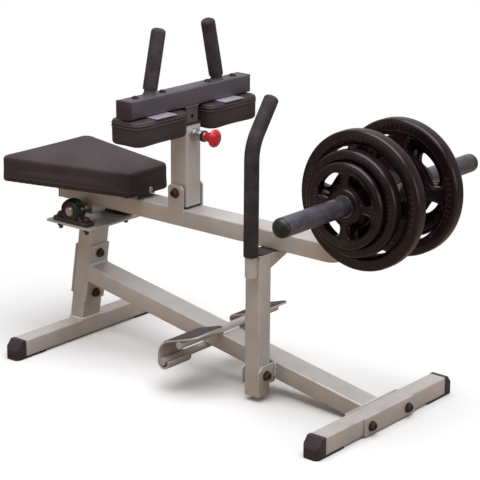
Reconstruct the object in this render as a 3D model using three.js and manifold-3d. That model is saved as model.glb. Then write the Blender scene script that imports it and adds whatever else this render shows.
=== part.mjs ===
// A plate loaded seated calf raise machine.
// X runs across the machine, with the catch on the negative side.
// Y runs from the weights to the seat, and Z is up.
// Lengths are in millimetres. The machine stands on Z = 0, with its box centred on X = 0 and Y = 0.
import * as THREE from "three";
import { mergeVertices } from "three/addons/utils/BufferGeometryUtils.js";
import Module from "manifold-3d";

const wasm = await Module();
wasm.setup();

// Allowances that the whole machine shares
const seatGap = 0.3; // between pieces that touch
const runningGap = 0.6; // round a shaft, bolt or post in its hole
const weldSink = 0.5; // how far a welded piece reaches into its neighbour
const overrun = 3; // how far a cut runs past a face
const mergeDistance = 0.001;
const tubeWall = 2.5;

// Stabilizers and their boots
const stabilizerSide = 50;
const stabilizerLength = 536;
const wheelbase = 1071.5;
const soleHeight = 5;
const soleReach = 78;
const bootLength = 37;
const bootShoulder = 14;
const bootNose = 28;
const bootChamfer = 8;
const bootPlugLength = 20;

// Main beam with its end flanges
const beamWidth = 76;
const beamDepth = 50;
const beamRise = THREE.MathUtils.degToRad(10.15);
const beamFrontTop = 53;
const flangeThick = 6;
const frontFlangeLength = 230;
const frontFlangeFoot = 8;
const frontClampLength = 220;
const frontBoltSpacing = 164;
const frontBoltHeight = 28;

// Rear post, which leans forward, with the clamp that holds the beam to it
const postWidth = 76;
const postDepth = 50;
const postLean = THREE.MathUtils.degToRad(8.9);
const postSetback = 2.5;
const rearBoltClear = { lower: 44.4, upper: 34.1 }; // from the beam to its bolts, along the post
const rearFlangeEdge = { lower: 22, upper: 26.5 }; // from the bolts to the flange's ends
const rearClampEdge = { lower: 11, upper: 16.5 }; // from the bolts to the clamp plate's ends

// Bolts
const boltRadius = 6;
const boltHeadRadius = 13;
const boltHeadHeight = 7;
const boltSocketRadius = 4.5;
const boltSocketDepth = 4;
const nutRadius = 9.5;
const nutHeight = 8;

// Pivot under the seat
const pivotLead = 14.5; // from the rear stabilizer forward to the pivot
const bearingPlateTop = 368;
const bearingPlateThick = 6;
const bearingPlateWidth = 212;
const bearingPlateLength = 176;
const blockSpacing = 164;
const blockWidth = 38;
const blockBaseLength = 140;
const blockBaseHeight = 15;
const blockEdge = 3;
const blockRadius = 35;
const blockNeck = 41;
const shaftRise = 36.5;
const shaftRadius = 12.5;
const shaftLength = 206;
const insertRadius = 26;
const insertLength = 34;
const saddleWidth = 56;
const saddleLength = 44;
const saddleDrop = 20;

// Foot rest
const rodRadius = 10.5;
const rodLength = 420;
const upperRodY = 541;
const lowerRodSetback = 61;
const sheetThick = 5;
const footInner = 72;
const footWrapInner = 115;
const footSlotTop = 145;
const footSlotFoot = 100;
const footFrontReach = 51;
const footBendRadius = 46;
const footBend = THREE.MathUtils.degToRad(73);
const footHookRadius = 15;
const footHookDrop = 0.5;
const footHookStart = THREE.MathUtils.degToRad(-200);
const footCornerRadius = 25;

// Lever arm, bent up to the weight axle
const armWidth = 76;
const armDepth = 50;
const armRearReach = 100;
const bendStartY = 190;
const bendRadius = 100;
const bendAngle = THREE.MathUtils.degToRad(64.6);
const axleReach = 135;
const tipReach = 45;
const plugFlange = 4;
const plugLength = 18;
const armBracketThick = 5;
const armBracketLength = 55;
const armBracketDrop = 47;
const armBracketRise = 67;
const armBracketChamfer = 8;

// Weight axle
const coreRadius = 12.5;
const sleeveRadius = 25;
const sleeveEnd = 405;
const capLength = 21;
const collarRadius = 37.5;
const collarThick = 5.7;
const collarStart = 58;

// Weight plates, each with a hub, a thin web with grip windows and a thick rim
const plateBoreGap = 0.8;
const hubRadius = 41;
const webSlope = 4;
const rimEdge = 8;
const windowCount = 4;
const windowHalfAngle = THREE.MathUtils.degToRad(30);
const windowCorner = 9;
const plateRadius = { large: 180, medium: 136, small: 110 };
const plateThick = { large: 40, medium: 38, small: 22 };
const plateWeb = { large: 18, medium: 16, small: 12 };
const plateRim = { large: 32, medium: 26, small: 20 };
const windowFoot = { large: 90, medium: 64, small: 49 };
const windowTop = { large: 142, medium: 104, small: 84 };
const plateSides = { large: 28, medium: 26, small: 24 };

// Seat, whose channel and cushion reach before and behind the pivot
const channelWidth = 76;
const channelHeight = 11;
const channelSheet = 3;
const channelFrontReach = 207;
const channelRearReach = 133;
const seatFrontReach = 224;
const seatRearReach = 199;
const seatFrontWidth = 160;
const seatRearWidth = 366;
const seatHeight = 72;
const seatCrown = 5;
const seatEdge = 10;
const seatCorner = 22;
const seatWaist = 3;
const seatSeam = 15;

// Thigh post on the arm
const thighPostLead = 357; // from the pivot forward to the post
const thighPostSide = 60;
const footCapHeight = 6;
const thighPostHeight = 228;
const bracketBoltRise = 45;
const spacerRadius = 10;
const bushLip = 6;
const bushDepth = 20;
const pinRise = 208;
const barrelRadius = 14.5;
const barrelLength = 33;
const collarRingRadius = 12;
const collarRingLength = 22;
const pinRadius = 5;
const knobRadius = 25;
const knobNeckRadius = 11;
const knobLength = 33;
const knobNeckLength = 12;
const knobBoreDepth = 12;

// Pad carriage that slides in the thigh post
const innerPostSide = 50;
const innerPostLift = 1.5;
const pinHolePitch = 25;
const pinHolesBelow = 5;
const pinHolesAbove = 2;
const crossbarRise = 286;
const crossbarSide = 50;
const crossbarLength = 484;
const crossbarCapLength = 6;
const crossbarCapRadius = 15;
const padPlateWidth = 80;
const padPlateMargin = 73;
const padPlateLength = 113;
const padPlateThick = 3;
const padInner = 42;
const padOverhang = 11;
const padLength = 110;
const padHeight = 68;
const padLead = 2; // from the post's middle forward to the pads' middle
const padCorner = 30;
const padCrown = 4;
const padEdge = 8;
const stitchDepth = 2;
const padWaist = 2;
const padSeams = { near: 9, far: 17 };
const gripSpacing = 278;
const gripSetback = 6; // from the post's middle back to the grips
const gripLean = THREE.MathUtils.degToRad(13.1);
const gripCoreRadius = 16;
const foamThick = 4;
const gripStub = 12;
const gripLength = 178;

// Catch beside the beam, which swings out sideways from under the arm
const catchSide = 50;
const catchX = -76;
const catchY = 378;
const catchPivotZ = 74;
const catchFootZ = 16;
const catchBracketThick = 5;
const catchBracketGap = 1;
const catchBracketFoot = 48;
const catchBracketTop = 103;
const catchBracketOuter = 106;
const catchBracketChamfer = 14;
const headReach = 15;
const headRoot = 372;
const headTipDepth = 7;
const headTopThick = 6;
const restThick = 3.5;
const gripClearance = 1;
const handleY = 370;
const handleFootZ = 359;
const handleRadius = 16;
const handleBendZ = 674;
const handleBendRadius = 120;
const handleLean = THREE.MathUtils.degToRad(35);
const handleTip = 107;

// Places that follow from the sizes above
const stabilizerTop = soleHeight + stabilizerSide;
const flangeBackY = stabilizerSide + seatGap + flangeThick;
const beamSlope = Math.tan(beamRise);
const beamVertical = beamDepth / Math.cos(beamRise);
const postFootY = wheelbase + postSetback;
const postRun = Math.cos(postLean) + Math.sin(postLean) * beamSlope;
const beamEndRise = beamFrontTop - stabilizerTop + (postFootY - flangeBackY) * beamSlope;
const rearBoltHeights = {
  lower: (beamEndRise - beamVertical) / postRun - rearBoltClear.lower,
  upper: beamEndRise / postRun + rearBoltClear.upper,
};
const rearFlangeFoot = rearBoltHeights.lower - rearFlangeEdge.lower;
const rearFlangeTop = rearBoltHeights.upper + rearFlangeEdge.upper;
const rearClampFoot = rearBoltHeights.lower - rearClampEdge.lower;
const rearClampTop = rearBoltHeights.upper + rearClampEdge.upper;
const pivotY = wheelbase - pivotLead;
const armRearY = pivotY + armRearReach;
const channelFrontY = pivotY - channelFrontReach;
const channelRearY = pivotY + channelRearReach;
const seatFrontY = pivotY - seatFrontReach;
const seatRearY = pivotY + seatRearReach;
const thighPostY = pivotY - thighPostLead;
const padCentreY = thighPostY - padLead;
const gripY = thighPostY + gripSetback;
const shaftZ = bearingPlateTop + seatGap + shaftRise;
const armBottom = shaftZ + shaftRadius + seatGap;
const armMid = armBottom + armDepth / 2;
const armTop = armBottom + armDepth;
const thighPostFoot = armTop + seatGap + footCapHeight + seatGap;
const thighPostTop = thighPostFoot + thighPostHeight;
const bracketBoltZ = armTop + bracketBoltRise;
const pinZ = armTop + pinRise;
const crossbarBottom = armTop + crossbarRise;
const crossbarTop = crossbarBottom + crossbarSide;
const padOuter = crossbarLength / 2 + padOverhang;
const padPlateOuter = padOuter - padPlateMargin;
const seatBottom = armTop + seatGap + channelHeight + seatGap;
const hands = [
  { hand: "right", side: -1 },
  { hand: "left", side: 1 },
];

// Boolean work on geometries
function toSolid(geometry) {
  const bare = geometry.clone();
  bare.deleteAttribute("normal");
  bare.deleteAttribute("uv");
  const welded = mergeVertices(bare, mergeDistance);
  const vertProperties = new Float32Array(welded.attributes.position.array);
  const triVerts = new Uint32Array(welded.index.array);
  return new wasm.Manifold(new wasm.Mesh({ numProp: 3, vertProperties, triVerts }));
}

function toGeometry(solid) {
  const { numProp, vertProperties, triVerts } = solid.getMesh();
  return new THREE.BufferGeometry()
    .setAttribute("position", new THREE.BufferAttribute(vertProperties, numProp))
    .setIndex(new THREE.BufferAttribute(triVerts, 1));
}

function join(first, ...others) {
  return toGeometry(others.reduce((whole, other) => whole.add(toSolid(other)), toSolid(first)));
}

function cut(body, ...tools) {
  return toGeometry(tools.reduce((rest, tool) => rest.subtract(toSolid(tool)), toSolid(body)));
}

function common(first, second) {
  return toGeometry(toSolid(first).intersect(toSolid(second)));
}

// Plain shapes between named planes
function box(xFrom, xTo, yFrom, yTo, zFrom, zTo) {
  return new THREE.BoxGeometry(xTo - xFrom, yTo - yFrom, zTo - zFrom).translate(
    (xFrom + xTo) / 2,
    (yFrom + yTo) / 2,
    (zFrom + zTo) / 2,
  );
}

function slab(points, depth) {
  const outline = new THREE.Shape(points.map(([x, y]) => new THREE.Vector2(x, y)));
  return new THREE.ExtrudeGeometry(outline, { depth, bevelEnabled: false, steps: 1 });
}

// Points are (y, z), carried from one x to another
function sideSlab(points, xFrom, xTo) {
  const turn = new THREE.Matrix4().makeBasis(
    new THREE.Vector3(0, 1, 0),
    new THREE.Vector3(0, 0, 1),
    new THREE.Vector3(1, 0, 0),
  );
  return slab(points, xTo - xFrom).applyMatrix4(turn).translate(xFrom, 0, 0);
}

// Points are (x, z), carried from one y to another
function frontSlab(points, yFrom, yTo) {
  return slab(points, yTo - yFrom).rotateX(Math.PI / 2).translate(0, yTo, 0);
}

// Points are (x, y), carried from one z to another
function planSlab(points, zFrom, zTo) {
  return slab(points, zTo - zFrom).translate(0, 0, zFrom);
}

function arc(centreX, centreY, radius, from, to, steps) {
  return Array.from({ length: steps + 1 }, (_, i) => {
    const angle = from + ((to - from) * i) / steps;
    return [centreX + radius * Math.cos(angle), centreY + radius * Math.sin(angle)];
  });
}

// Round shapes about Z, and the turns that lay them along X or Y
function rod(radius, zFrom, zTo, sides) {
  return new THREE.CylinderGeometry(radius, radius, zTo - zFrom, sides)
    .rotateX(Math.PI / 2)
    .translate(0, 0, (zFrom + zTo) / 2);
}

function lathe(points, sides) {
  const profile = points.map(([radius, z]) => new THREE.Vector2(radius, z));
  return new THREE.LatheGeometry(profile, sides).rotateX(Math.PI / 2);
}

function alongX(geometry) {
  return geometry.rotateY(Math.PI / 2);
}

function alongY(geometry) {
  return geometry.rotateX(-Math.PI / 2);
}

// From the rear post's own frame, with its front face on y = 0 and its length along z
function leaned(geometry) {
  return geometry.rotateX(postLean).translate(0, postFootY, stabilizerTop);
}

// The two x limits of something on one side of the middle plane
function span(side, inner, outer) {
  return side < 0 ? [-outer, -inner] : [inner, outer];
}

// A bolt along Z: a socket head below zero, the nut past the grip
function bolt(grip) {
  const seat = grip + seatGap;
  return lathe(
    [
      [0, boltSocketDepth - boltHeadHeight],
      [boltSocketRadius, -boltHeadHeight],
      [boltHeadRadius - boltHeadHeight / 2, -boltHeadHeight],
      [boltHeadRadius, -boltHeadHeight / 2],
      [boltHeadRadius, -seatGap],
      [boltRadius, -seatGap],
      [boltRadius, seat],
      [nutRadius, seat],
      [nutRadius, seat + nutHeight],
      [0, seat + nutHeight],
    ],
    10,
  );
}

// The hole that a bolt needs through what it holds
function boltHole(from, to) {
  return rod(boltRadius + runningGap, from, to, 10);
}

// Finishes
const finishes = {
  silver_paint: { color: 0xb4b0ab, roughness: 0.42, metalness: 0.55 },
  crossbar_paint: { color: 0x34323a, roughness: 0.5, metalness: 0.3 },
  plate_zinc: { color: 0xc3c3cc, roughness: 0.35, metalness: 0.8 },
  boot_rubber: { color: 0x262428, roughness: 0.75, metalness: 0 },
  black_vinyl: { color: 0x2b2a2d, roughness: 0.6, metalness: 0 },
  foam: { color: 0x2f2c30, roughness: 0.85, metalness: 0 },
  weight_rubber: { color: 0x221c1e, roughness: 0.45, metalness: 0 },
  sleeve_steel: { color: 0x4a4850, roughness: 0.4, metalness: 0.7 },
  bolt_steel: { color: 0x2a2628, roughness: 0.4, metalness: 0.8 },
  cast_housing: { color: 0x20302a, roughness: 0.5, metalness: 0.4 },
  bright_steel: { color: 0xc8c8cc, roughness: 0.25, metalness: 1 },
  black_plastic: { color: 0x1e1d20, roughness: 0.5, metalness: 0 },
  red_plastic: { color: 0xc81e28, roughness: 0.3, metalness: 0 },
};

const machine = new THREE.Group();

function piece(name, geometry, finish) {
  const material = new THREE.MeshStandardMaterial({ ...finishes[finish], flatShading: true });
  const mesh = new THREE.Mesh(geometry, material);
  mesh.name = name;
  machine.add(mesh);
}

// Square stabilizer tubes
function stabilizer(frontY) {
  const half = stabilizerLength / 2;
  const rearY = frontY + stabilizerSide;
  return cut(
    box(-half, half, frontY, rearY, soleHeight, stabilizerTop),
    box(
      -half - overrun,
      half + overrun,
      frontY + tubeWall,
      rearY - tubeWall,
      soleHeight + tubeWall,
      stabilizerTop - tubeWall,
    ),
  );
}

// A boot plugs into the tube, and its sole runs back under the tube
function boot(side, frontY) {
  const half = stabilizerSide / 2;
  const profile = [
    [seatGap, stabilizerTop],
    [bootShoulder, stabilizerTop],
    [bootLength, bootNose],
    [bootLength, 0],
    [-soleReach, 0],
    [-soleReach, soleHeight - seatGap],
    [seatGap, soleHeight - seatGap],
  ];
  const plan = [
    [-soleReach - overrun, -half],
    [bootLength - bootChamfer, -half],
    [bootLength, bootChamfer - half],
    [bootLength, half - bootChamfer],
    [bootLength - bootChamfer, half],
    [-soleReach - overrun, half],
  ];
  const shell = common(
    frontSlab(profile, -half - overrun, half + overrun),
    planSlab(plan, -overrun, stabilizerTop + overrun),
  );
  const plugHalf = half - tubeWall - seatGap;
  const middle = soleHeight + half;
  const plugFoot = middle - plugHalf;
  const plug = box(-bootPlugLength, seatGap + weldSink, -plugHalf, plugHalf, plugFoot, middle + plugHalf);
  return join(shell, plug)
    .rotateZ(side < 0 ? Math.PI : 0)
    .translate((side * stabilizerLength) / 2, frontY + half, 0);
}

function addBase() {
  const holes = hands.map(({ side }) =>
    alongY(boltHole(-overrun, stabilizerSide + overrun)).translate(
      (side * frontBoltSpacing) / 2,
      0,
      frontBoltHeight,
    ),
  );
  piece("front_stabilizer", cut(stabilizer(0), ...holes), "silver_paint");
  piece("rear_stabilizer", stabilizer(wheelbase), "silver_paint");
  for (const { hand, side } of hands) {
    piece(`boot_front_${hand}`, boot(side, 0), "boot_rubber");
    piece(`boot_rear_${hand}`, boot(side, wheelbase), "boot_rubber");
  }
}

// The beam's side outline, drawn in by an inset, between two stations
function beamTopAt(y) {
  return beamFrontTop + (y - flangeBackY) * beamSlope;
}

function beamSide(inset, yFrom, yTo) {
  const drop = inset / Math.cos(beamRise);
  return [
    [yFrom, beamTopAt(yFrom) - drop],
    [yTo, beamTopAt(yTo) - drop],
    [yTo, beamTopAt(yTo) - beamVertical + drop],
    [yFrom, beamTopAt(yFrom) - beamVertical + drop],
  ];
}

// Everything behind a plane parallel to the rear post's front face
function behindPost(offset) {
  return leaned(
    box(-beamWidth, beamWidth, offset, postDepth + wheelbase, -stabilizerTop, rearFlangeTop + rearFlangeFoot),
  );
}

function catchBracket(yFrom) {
  const inner = weldSink - beamWidth / 2;
  const outline = [
    [inner, catchBracketTop],
    [-catchBracketOuter + catchBracketChamfer, catchBracketTop],
    [-catchBracketOuter, catchBracketTop - catchBracketChamfer],
    [-catchBracketOuter, catchBracketFoot],
    [inner, catchBracketFoot],
  ];
  return frontSlab(outline, yFrom, yFrom + catchBracketThick);
}

function mainBeam() {
  const half = beamWidth / 2;
  const flangeY = stabilizerSide + seatGap;
  const rearFace = -seatGap - flangeThick;
  const outside = sideSlab(beamSide(0, flangeY + weldSink, wheelbase), -half, half);
  const tube = cut(outside, behindPost(rearFace + weldSink));
  const hollow = cut(
    sideSlab(beamSide(tubeWall, flangeY - overrun, wheelbase), tubeWall - half, half - tubeWall),
    behindPost(rearFace),
  );
  const frontFlange = box(
    -frontFlangeLength / 2,
    frontFlangeLength / 2,
    flangeY,
    flangeBackY,
    frontFlangeFoot,
    stabilizerTop,
  );
  const rearFlange = leaned(box(-half, half, rearFace, -seatGap, rearFlangeFoot, rearFlangeTop));
  const reach = catchSide / 2 + catchBracketGap;
  const brackets = [catchY - reach - catchBracketThick, catchY + reach].map(catchBracket);
  const frontHoles = hands.map(({ side }) =>
    alongY(boltHole(flangeY - overrun, flangeBackY + overrun)).translate(
      (side * frontBoltSpacing) / 2,
      0,
      frontBoltHeight,
    ),
  );
  const rearHoles = Object.values(rearBoltHeights).map((z) =>
    leaned(alongY(boltHole(rearFace - overrun, overrun)).translate(0, 0, z)),
  );
  const catchHole = alongY(
    boltHole(catchY - reach - catchBracketThick - overrun, catchY + reach + catchBracketThick + overrun),
  ).translate(catchX, 0, catchPivotZ);
  const welded = join(cut(join(tube, frontFlange, rearFlange), hollow), ...brackets);
  return cut(welded, ...frontHoles, ...rearHoles, catchHole);
}

function addBeam() {
  piece("main_beam", mainBeam(), "silver_paint");
  const clampHalf = frontClampLength / 2;
  const grip = 2 * flangeThick + stabilizerSide + 2 * seatGap;
  const boltStart = -seatGap - flangeThick;
  const holes = hands.map(({ side }) =>
    alongY(boltHole(boltStart - overrun, overrun)).translate(
      (side * frontBoltSpacing) / 2,
      0,
      frontBoltHeight,
    ),
  );
  const clamp = box(-clampHalf, clampHalf, boltStart, -seatGap, soleHeight, stabilizerTop);
  piece("front_clamp_plate", cut(clamp, ...holes), "silver_paint");
  for (const { hand, side } of hands) {
    const place = alongY(bolt(grip)).translate((side * frontBoltSpacing) / 2, boltStart, frontBoltHeight);
    piece(`front_bolt_${hand}`, place, "bolt_steel");
  }
}

// The rear post stands on its stabilizer and ends under the bearing plate
function addRearPost() {
  const half = postWidth / 2;
  const longer = bearingPlateTop / Math.cos(postLean);
  const tube = cut(
    leaned(box(-half, half, 0, postDepth, -postDepth, longer)),
    leaned(
      box(
        tubeWall - half,
        half - tubeWall,
        tubeWall,
        postDepth - tubeWall,
        -postDepth - overrun,
        longer + overrun,
      ),
    ),
  );
  const postTop = bearingPlateTop - bearingPlateThick - seatGap;
  const room = box(-postWidth, postWidth, 0, 2 * wheelbase, stabilizerTop + seatGap, postTop);
  const holes = Object.values(rearBoltHeights).map((z) =>
    leaned(alongY(boltHole(-overrun, postDepth + flangeThick + overrun)).translate(0, 0, z)),
  );
  piece("rear_post", cut(common(tube, room), ...holes), "silver_paint");
  const clampFace = postDepth + seatGap;
  const clamp = leaned(box(-half, half, clampFace, clampFace + flangeThick, rearClampFoot, rearClampTop));
  piece("rear_clamp_plate", cut(clamp, ...holes), "silver_paint");
  const start = -seatGap - flangeThick;
  const grip = clampFace + flangeThick - start;
  for (const [level, z] of Object.entries(rearBoltHeights)) {
    piece(`rear_bolt_${level}`, leaned(alongY(bolt(grip)).translate(0, start, z)), "bolt_steel");
  }
}

// Two pillow blocks on a plate carry the shaft that the lever turns on
function pillowBlock() {
  const half = blockBaseLength / 2;
  const cheek = Math.asin((shaftRise - blockBaseHeight) / blockRadius);
  const outline = [
    [-half, 0],
    [half, 0],
    [half, blockBaseHeight - blockEdge],
    [half - blockEdge, blockBaseHeight],
    [blockNeck, blockBaseHeight],
    ...arc(0, shaftRise, blockRadius, -cheek / 2, Math.PI + cheek / 2, 14),
    [-blockNeck, blockBaseHeight],
    [blockEdge - half, blockBaseHeight],
    [-half, blockBaseHeight - blockEdge],
  ];
  const bore = alongX(rod(insertRadius + seatGap, -blockWidth, blockWidth, 20)).translate(0, 0, shaftRise);
  return cut(sideSlab(outline, -blockWidth / 2, blockWidth / 2), bore);
}

function bearingInsert() {
  const inner = shaftRadius + runningGap;
  const half = insertLength / 2;
  const ring = [
    [inner, -half],
    [insertRadius - seatGap, -half],
    [insertRadius - seatGap, half],
    [inner, half],
    [inner, -half],
  ];
  return alongX(lathe(ring, 20));
}

function addPivot() {
  const halfWidth = bearingPlateWidth / 2;
  const halfLength = bearingPlateLength / 2;
  const under = bearingPlateTop - bearingPlateThick;
  piece(
    "bearing_plate",
    box(-halfWidth, halfWidth, pivotY - halfLength, pivotY + halfLength, under, bearingPlateTop),
    "silver_paint",
  );
  for (const { hand, side } of hands) {
    const x = (side * blockSpacing) / 2;
    const block = pillowBlock().translate(x, pivotY, bearingPlateTop + seatGap);
    piece(`pillow_block_${hand}`, block, "cast_housing");
    piece(`bearing_insert_${hand}`, bearingInsert().translate(x, pivotY, shaftZ), "bright_steel");
  }
  const shaft = alongX(rod(shaftRadius, -shaftLength / 2, shaftLength / 2, 20)).translate(0, pivotY, shaftZ);
  piece("pivot_shaft", shaft, "bright_steel");
}

// The foot plates are bent from sheet round two rods that are welded across the beam
const lowerRodY = upperRodY + lowerRodSetback;
const footFrontY = upperRodY - footFrontReach;
const rodOffset = (rodRadius + seatGap) / Math.cos(beamRise);
const lowerRodZ = beamTopAt(lowerRodY) - beamVertical - rodOffset;
const upperRodZ = beamTopAt(upperRodY) + rodOffset;

function footSection() {
  const wrap = rodRadius + seatGap;
  const wallY = lowerRodY + wrap;
  const normalY = Math.cos(footBend);
  const normalZ = Math.sin(footBend);
  const bendY = wallY - footBendRadius;
  const hookY = wallY - footHookRadius;
  const hookZ = lowerRodZ - footHookDrop;
  const treadLevel = normalY * upperRodY + normalZ * upperRodZ + wrap;
  const bendZ = (treadLevel - footBendRadius - normalY * bendY) / normalZ;
  const treadEndZ = (radius) => bendZ + (radius - normalY * (footFrontY - bendY)) / normalZ;
  const offsetLine = (offset) => [
    ...arc(hookY, hookZ, footHookRadius + offset, footHookStart, 0, 8),
    ...arc(bendY, bendZ, footBendRadius + offset, 0, footBend, 6),
    [footFrontY, treadEndZ(footBendRadius + offset)],
  ];
  return [...offsetLine(0), ...offsetLine(sheetThick).reverse()];
}

function footPlate(side) {
  const outer = rodLength / 2;
  const front = footFrontY + footCornerRadius;
  const plan = [
    [footInner, lowerRodY + footBendRadius],
    ...arc(footInner + footCornerRadius, front, footCornerRadius, Math.PI, 1.5 * Math.PI, 4),
    ...arc(outer - footCornerRadius, front, footCornerRadius, 1.5 * Math.PI, 2 * Math.PI, 4),
    [outer, lowerRodY + footBendRadius],
  ].map(([x, y]) => [side * x, y]);
  const slot = [
    [footInner - overrun, footSlotTop],
    [footInner, footSlotTop],
    [footWrapInner, footSlotFoot],
    [footWrapInner, 0],
    [footInner - overrun, 0],
  ].map(([x, z]) => [side * x, z]);
  const sheet = sideSlab(footSection(), ...span(side, footInner - overrun, outer + overrun));
  const trimmed = common(sheet, planSlab(plan, 0, armBottom));
  return cut(trimmed, frontSlab(slot, footFrontY, lowerRodY + footBendRadius));
}

function addFootRest() {
  const half = rodLength / 2;
  const footRod = () => alongX(rod(rodRadius, -half, half, 16));
  piece("upper_foot_rod", footRod().translate(0, upperRodY, upperRodZ), "silver_paint");
  piece("lower_foot_rod", footRod().translate(0, lowerRodY, lowerRodZ), "silver_paint");
  for (const { hand, side } of hands) {
    piece(`foot_plate_${hand}`, footPlate(side), "silver_paint");
  }
}

// The arm's side outline, drawn in by an inset, with its bend and its raised end
const bendCentreZ = armMid + bendRadius;
const bendFinish = -Math.PI / 2 - bendAngle;
const headingY = -Math.cos(bendAngle);
const headingZ = Math.sin(bendAngle);
const axleY = bendStartY + bendRadius * Math.cos(bendFinish) + axleReach * headingY;
const axleZ = bendCentreZ + bendRadius * Math.sin(bendFinish) + axleReach * headingZ;

// A point of the raised end, along its length and across its depth from the axle
function tipPoint(along, across) {
  return [axleY + along * headingY + across * headingZ, axleZ + along * headingZ - across * headingY];
}

function armSide(inset, rearY, tip) {
  const half = armDepth / 2 - inset;
  return [
    [rearY, armMid - half],
    ...arc(bendStartY, bendCentreZ, bendRadius + half, -Math.PI / 2, bendFinish, 8),
    tipPoint(tip, -half),
    tipPoint(tip, half),
    ...arc(bendStartY, bendCentreZ, bendRadius - half, bendFinish, -Math.PI / 2, 8),
    [rearY, armMid + half],
  ];
}

function armBracket(side) {
  const half = armBracketLength / 2;
  const foot = armTop - armBracketDrop;
  const top = armTop + armBracketRise;
  const outline = [
    [thighPostY - half, foot],
    [thighPostY + half, foot],
    [thighPostY + half, top - armBracketChamfer],
    [thighPostY + half - armBracketChamfer, top],
    [thighPostY - half + armBracketChamfer, top],
    [thighPostY - half, top - armBracketChamfer],
  ];
  return sideSlab(outline, ...span(side, armWidth / 2 - weldSink, armWidth / 2 + armBracketThick));
}

function leverArm() {
  const half = armWidth / 2;
  const tube = cut(
    sideSlab(armSide(0, armRearY, tipReach), -half, half),
    sideSlab(armSide(tubeWall, armRearY + overrun, tipReach + overrun), tubeWall - half, half - tubeWall),
  );
  const saddle = box(
    -saddleWidth / 2,
    saddleWidth / 2,
    pivotY - saddleLength / 2,
    pivotY + saddleLength / 2,
    shaftZ - saddleDrop,
    armBottom + weldSink,
  );
  const reach = half + armBracketThick + overrun;
  const shaftBore = alongX(rod(shaftRadius + runningGap / 2, -reach, reach, 20)).translate(0, pivotY, shaftZ);
  const axleBore = alongX(rod(coreRadius + runningGap, -reach, reach, 16)).translate(0, axleY, axleZ);
  const boltBore = alongX(boltHole(-reach, reach)).translate(0, thighPostY, bracketBoltZ);
  return cut(
    join(tube, cut(saddle, shaftBore), ...hands.map(({ side }) => armBracket(side))),
    axleBore,
    boltBore,
  );
}

function addArm() {
  piece("lever_arm", leverArm(), "silver_paint");
  const half = armWidth / 2;
  const plugHalf = half - tubeWall - seatGap;
  const deep = armDepth / 2 - tubeWall - seatGap;
  const rearFace = armRearY + seatGap;
  const rearPlug = join(
    box(-half, half, rearFace, rearFace + plugFlange, armBottom, armTop),
    box(-plugHalf, plugHalf, rearFace - plugLength, rearFace + weldSink, armMid - deep, armMid + deep),
  );
  piece("arm_rear_plug", rearPlug, "black_plastic");
  const tipFace = tipReach + seatGap;
  const block = (from, to, across) => [
    tipPoint(from, -across),
    tipPoint(to, -across),
    tipPoint(to, across),
    tipPoint(from, across),
  ];
  const frontPlug = join(
    sideSlab(block(tipFace, tipFace + plugFlange, armDepth / 2), -half, half),
    sideSlab(block(tipFace - plugLength, tipFace + weldSink, deep), -plugHalf, plugHalf),
  );
  piece("arm_front_plug", frontPlug, "black_plastic");
}

// One turned axle: the core through the arm, a sleeve and a stop collar on each side
function weightAxle() {
  const shoulder = armWidth / 2 + seatGap;
  const stop = collarStart + collarThick;
  const half = [
    [coreRadius, shoulder],
    [sleeveRadius, shoulder],
    [sleeveRadius, collarStart],
    [collarRadius, collarStart],
    [collarRadius, stop],
    [sleeveRadius, stop],
    [sleeveRadius, sleeveEnd],
    [0, sleeveEnd],
  ];
  const mirrored = half.map(([radius, x]) => [radius, -x]).reverse();
  return alongX(lathe([...mirrored, ...half], 20)).translate(0, axleY, axleZ);
}

function sleeveCap(side) {
  const dome = arc(0, 0, sleeveRadius, 0, Math.PI / 2, 3).map(([radius, z]) => [
    radius,
    sleeveEnd + seatGap + (z * capLength) / sleeveRadius,
  ]);
  const foot = [0, sleeveEnd + seatGap];
  const tip = [0, sleeveEnd + seatGap + capLength];
  return alongX(lathe([foot, ...dome.slice(0, -1), tip], 20))
    .rotateZ(side < 0 ? Math.PI : 0)
    .translate(0, axleY, axleZ);
}

// A weight plate about its own middle, lying along X
function weightPlate(size) {
  const radius = plateRadius[size];
  const windowInner = windowFoot[size];
  const windowOuter = windowTop[size];
  const bore = sleeveRadius + plateBoreGap;
  const face = plateThick[size] / 2;
  const inner = plateWeb[size] / 2;
  const rimInner = radius - plateRim[size];
  const lower = [
    [bore, -face],
    [hubRadius, -face],
    [hubRadius + webSlope, -inner],
    [rimInner - webSlope, -inner],
    [rimInner, -face],
    [radius - rimEdge, -face],
    [radius, rimEdge - face],
  ];
  const upper = lower.map(([r, x]) => [r, -x]).reverse();
  const disc = lathe([...lower, ...upper, lower[0]], plateSides[size]);
  const middle = (windowInner + windowOuter) / 2;
  const outerTrim = windowCorner / windowOuter;
  const innerTrim = windowCorner / windowInner;
  const windowOutline = [
    ...arc(0, 0, windowInner, windowHalfAngle - innerTrim, innerTrim - windowHalfAngle, 2),
    [middle * Math.cos(windowHalfAngle), -middle * Math.sin(windowHalfAngle)],
    ...arc(0, 0, windowOuter, outerTrim - windowHalfAngle, windowHalfAngle - outerTrim, 4),
    [middle * Math.cos(windowHalfAngle), middle * Math.sin(windowHalfAngle)],
  ];
  const windows = Array.from({ length: windowCount }, (_, i) =>
    planSlab(windowOutline, -face, face).rotateZ(((i + 0.5) * 2 * Math.PI) / windowCount),
  );
  return alongX(cut(disc, ...windows));
}

function addWeights() {
  piece("weight_axle", weightAxle(), "sleeve_steel");
  for (const { hand, side } of hands) {
    piece(`sleeve_cap_${hand}`, sleeveCap(side), "black_plastic");
    let start = collarStart + collarThick + seatGap;
    for (const [size, thick] of Object.entries(plateThick)) {
      const x = side * (start + thick / 2);
      piece(`weight_${size}_${hand}`, weightPlate(size).translate(x, axleY, axleZ), "weight_rubber");
      start += thick + seatGap;
    }
  }
}

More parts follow.
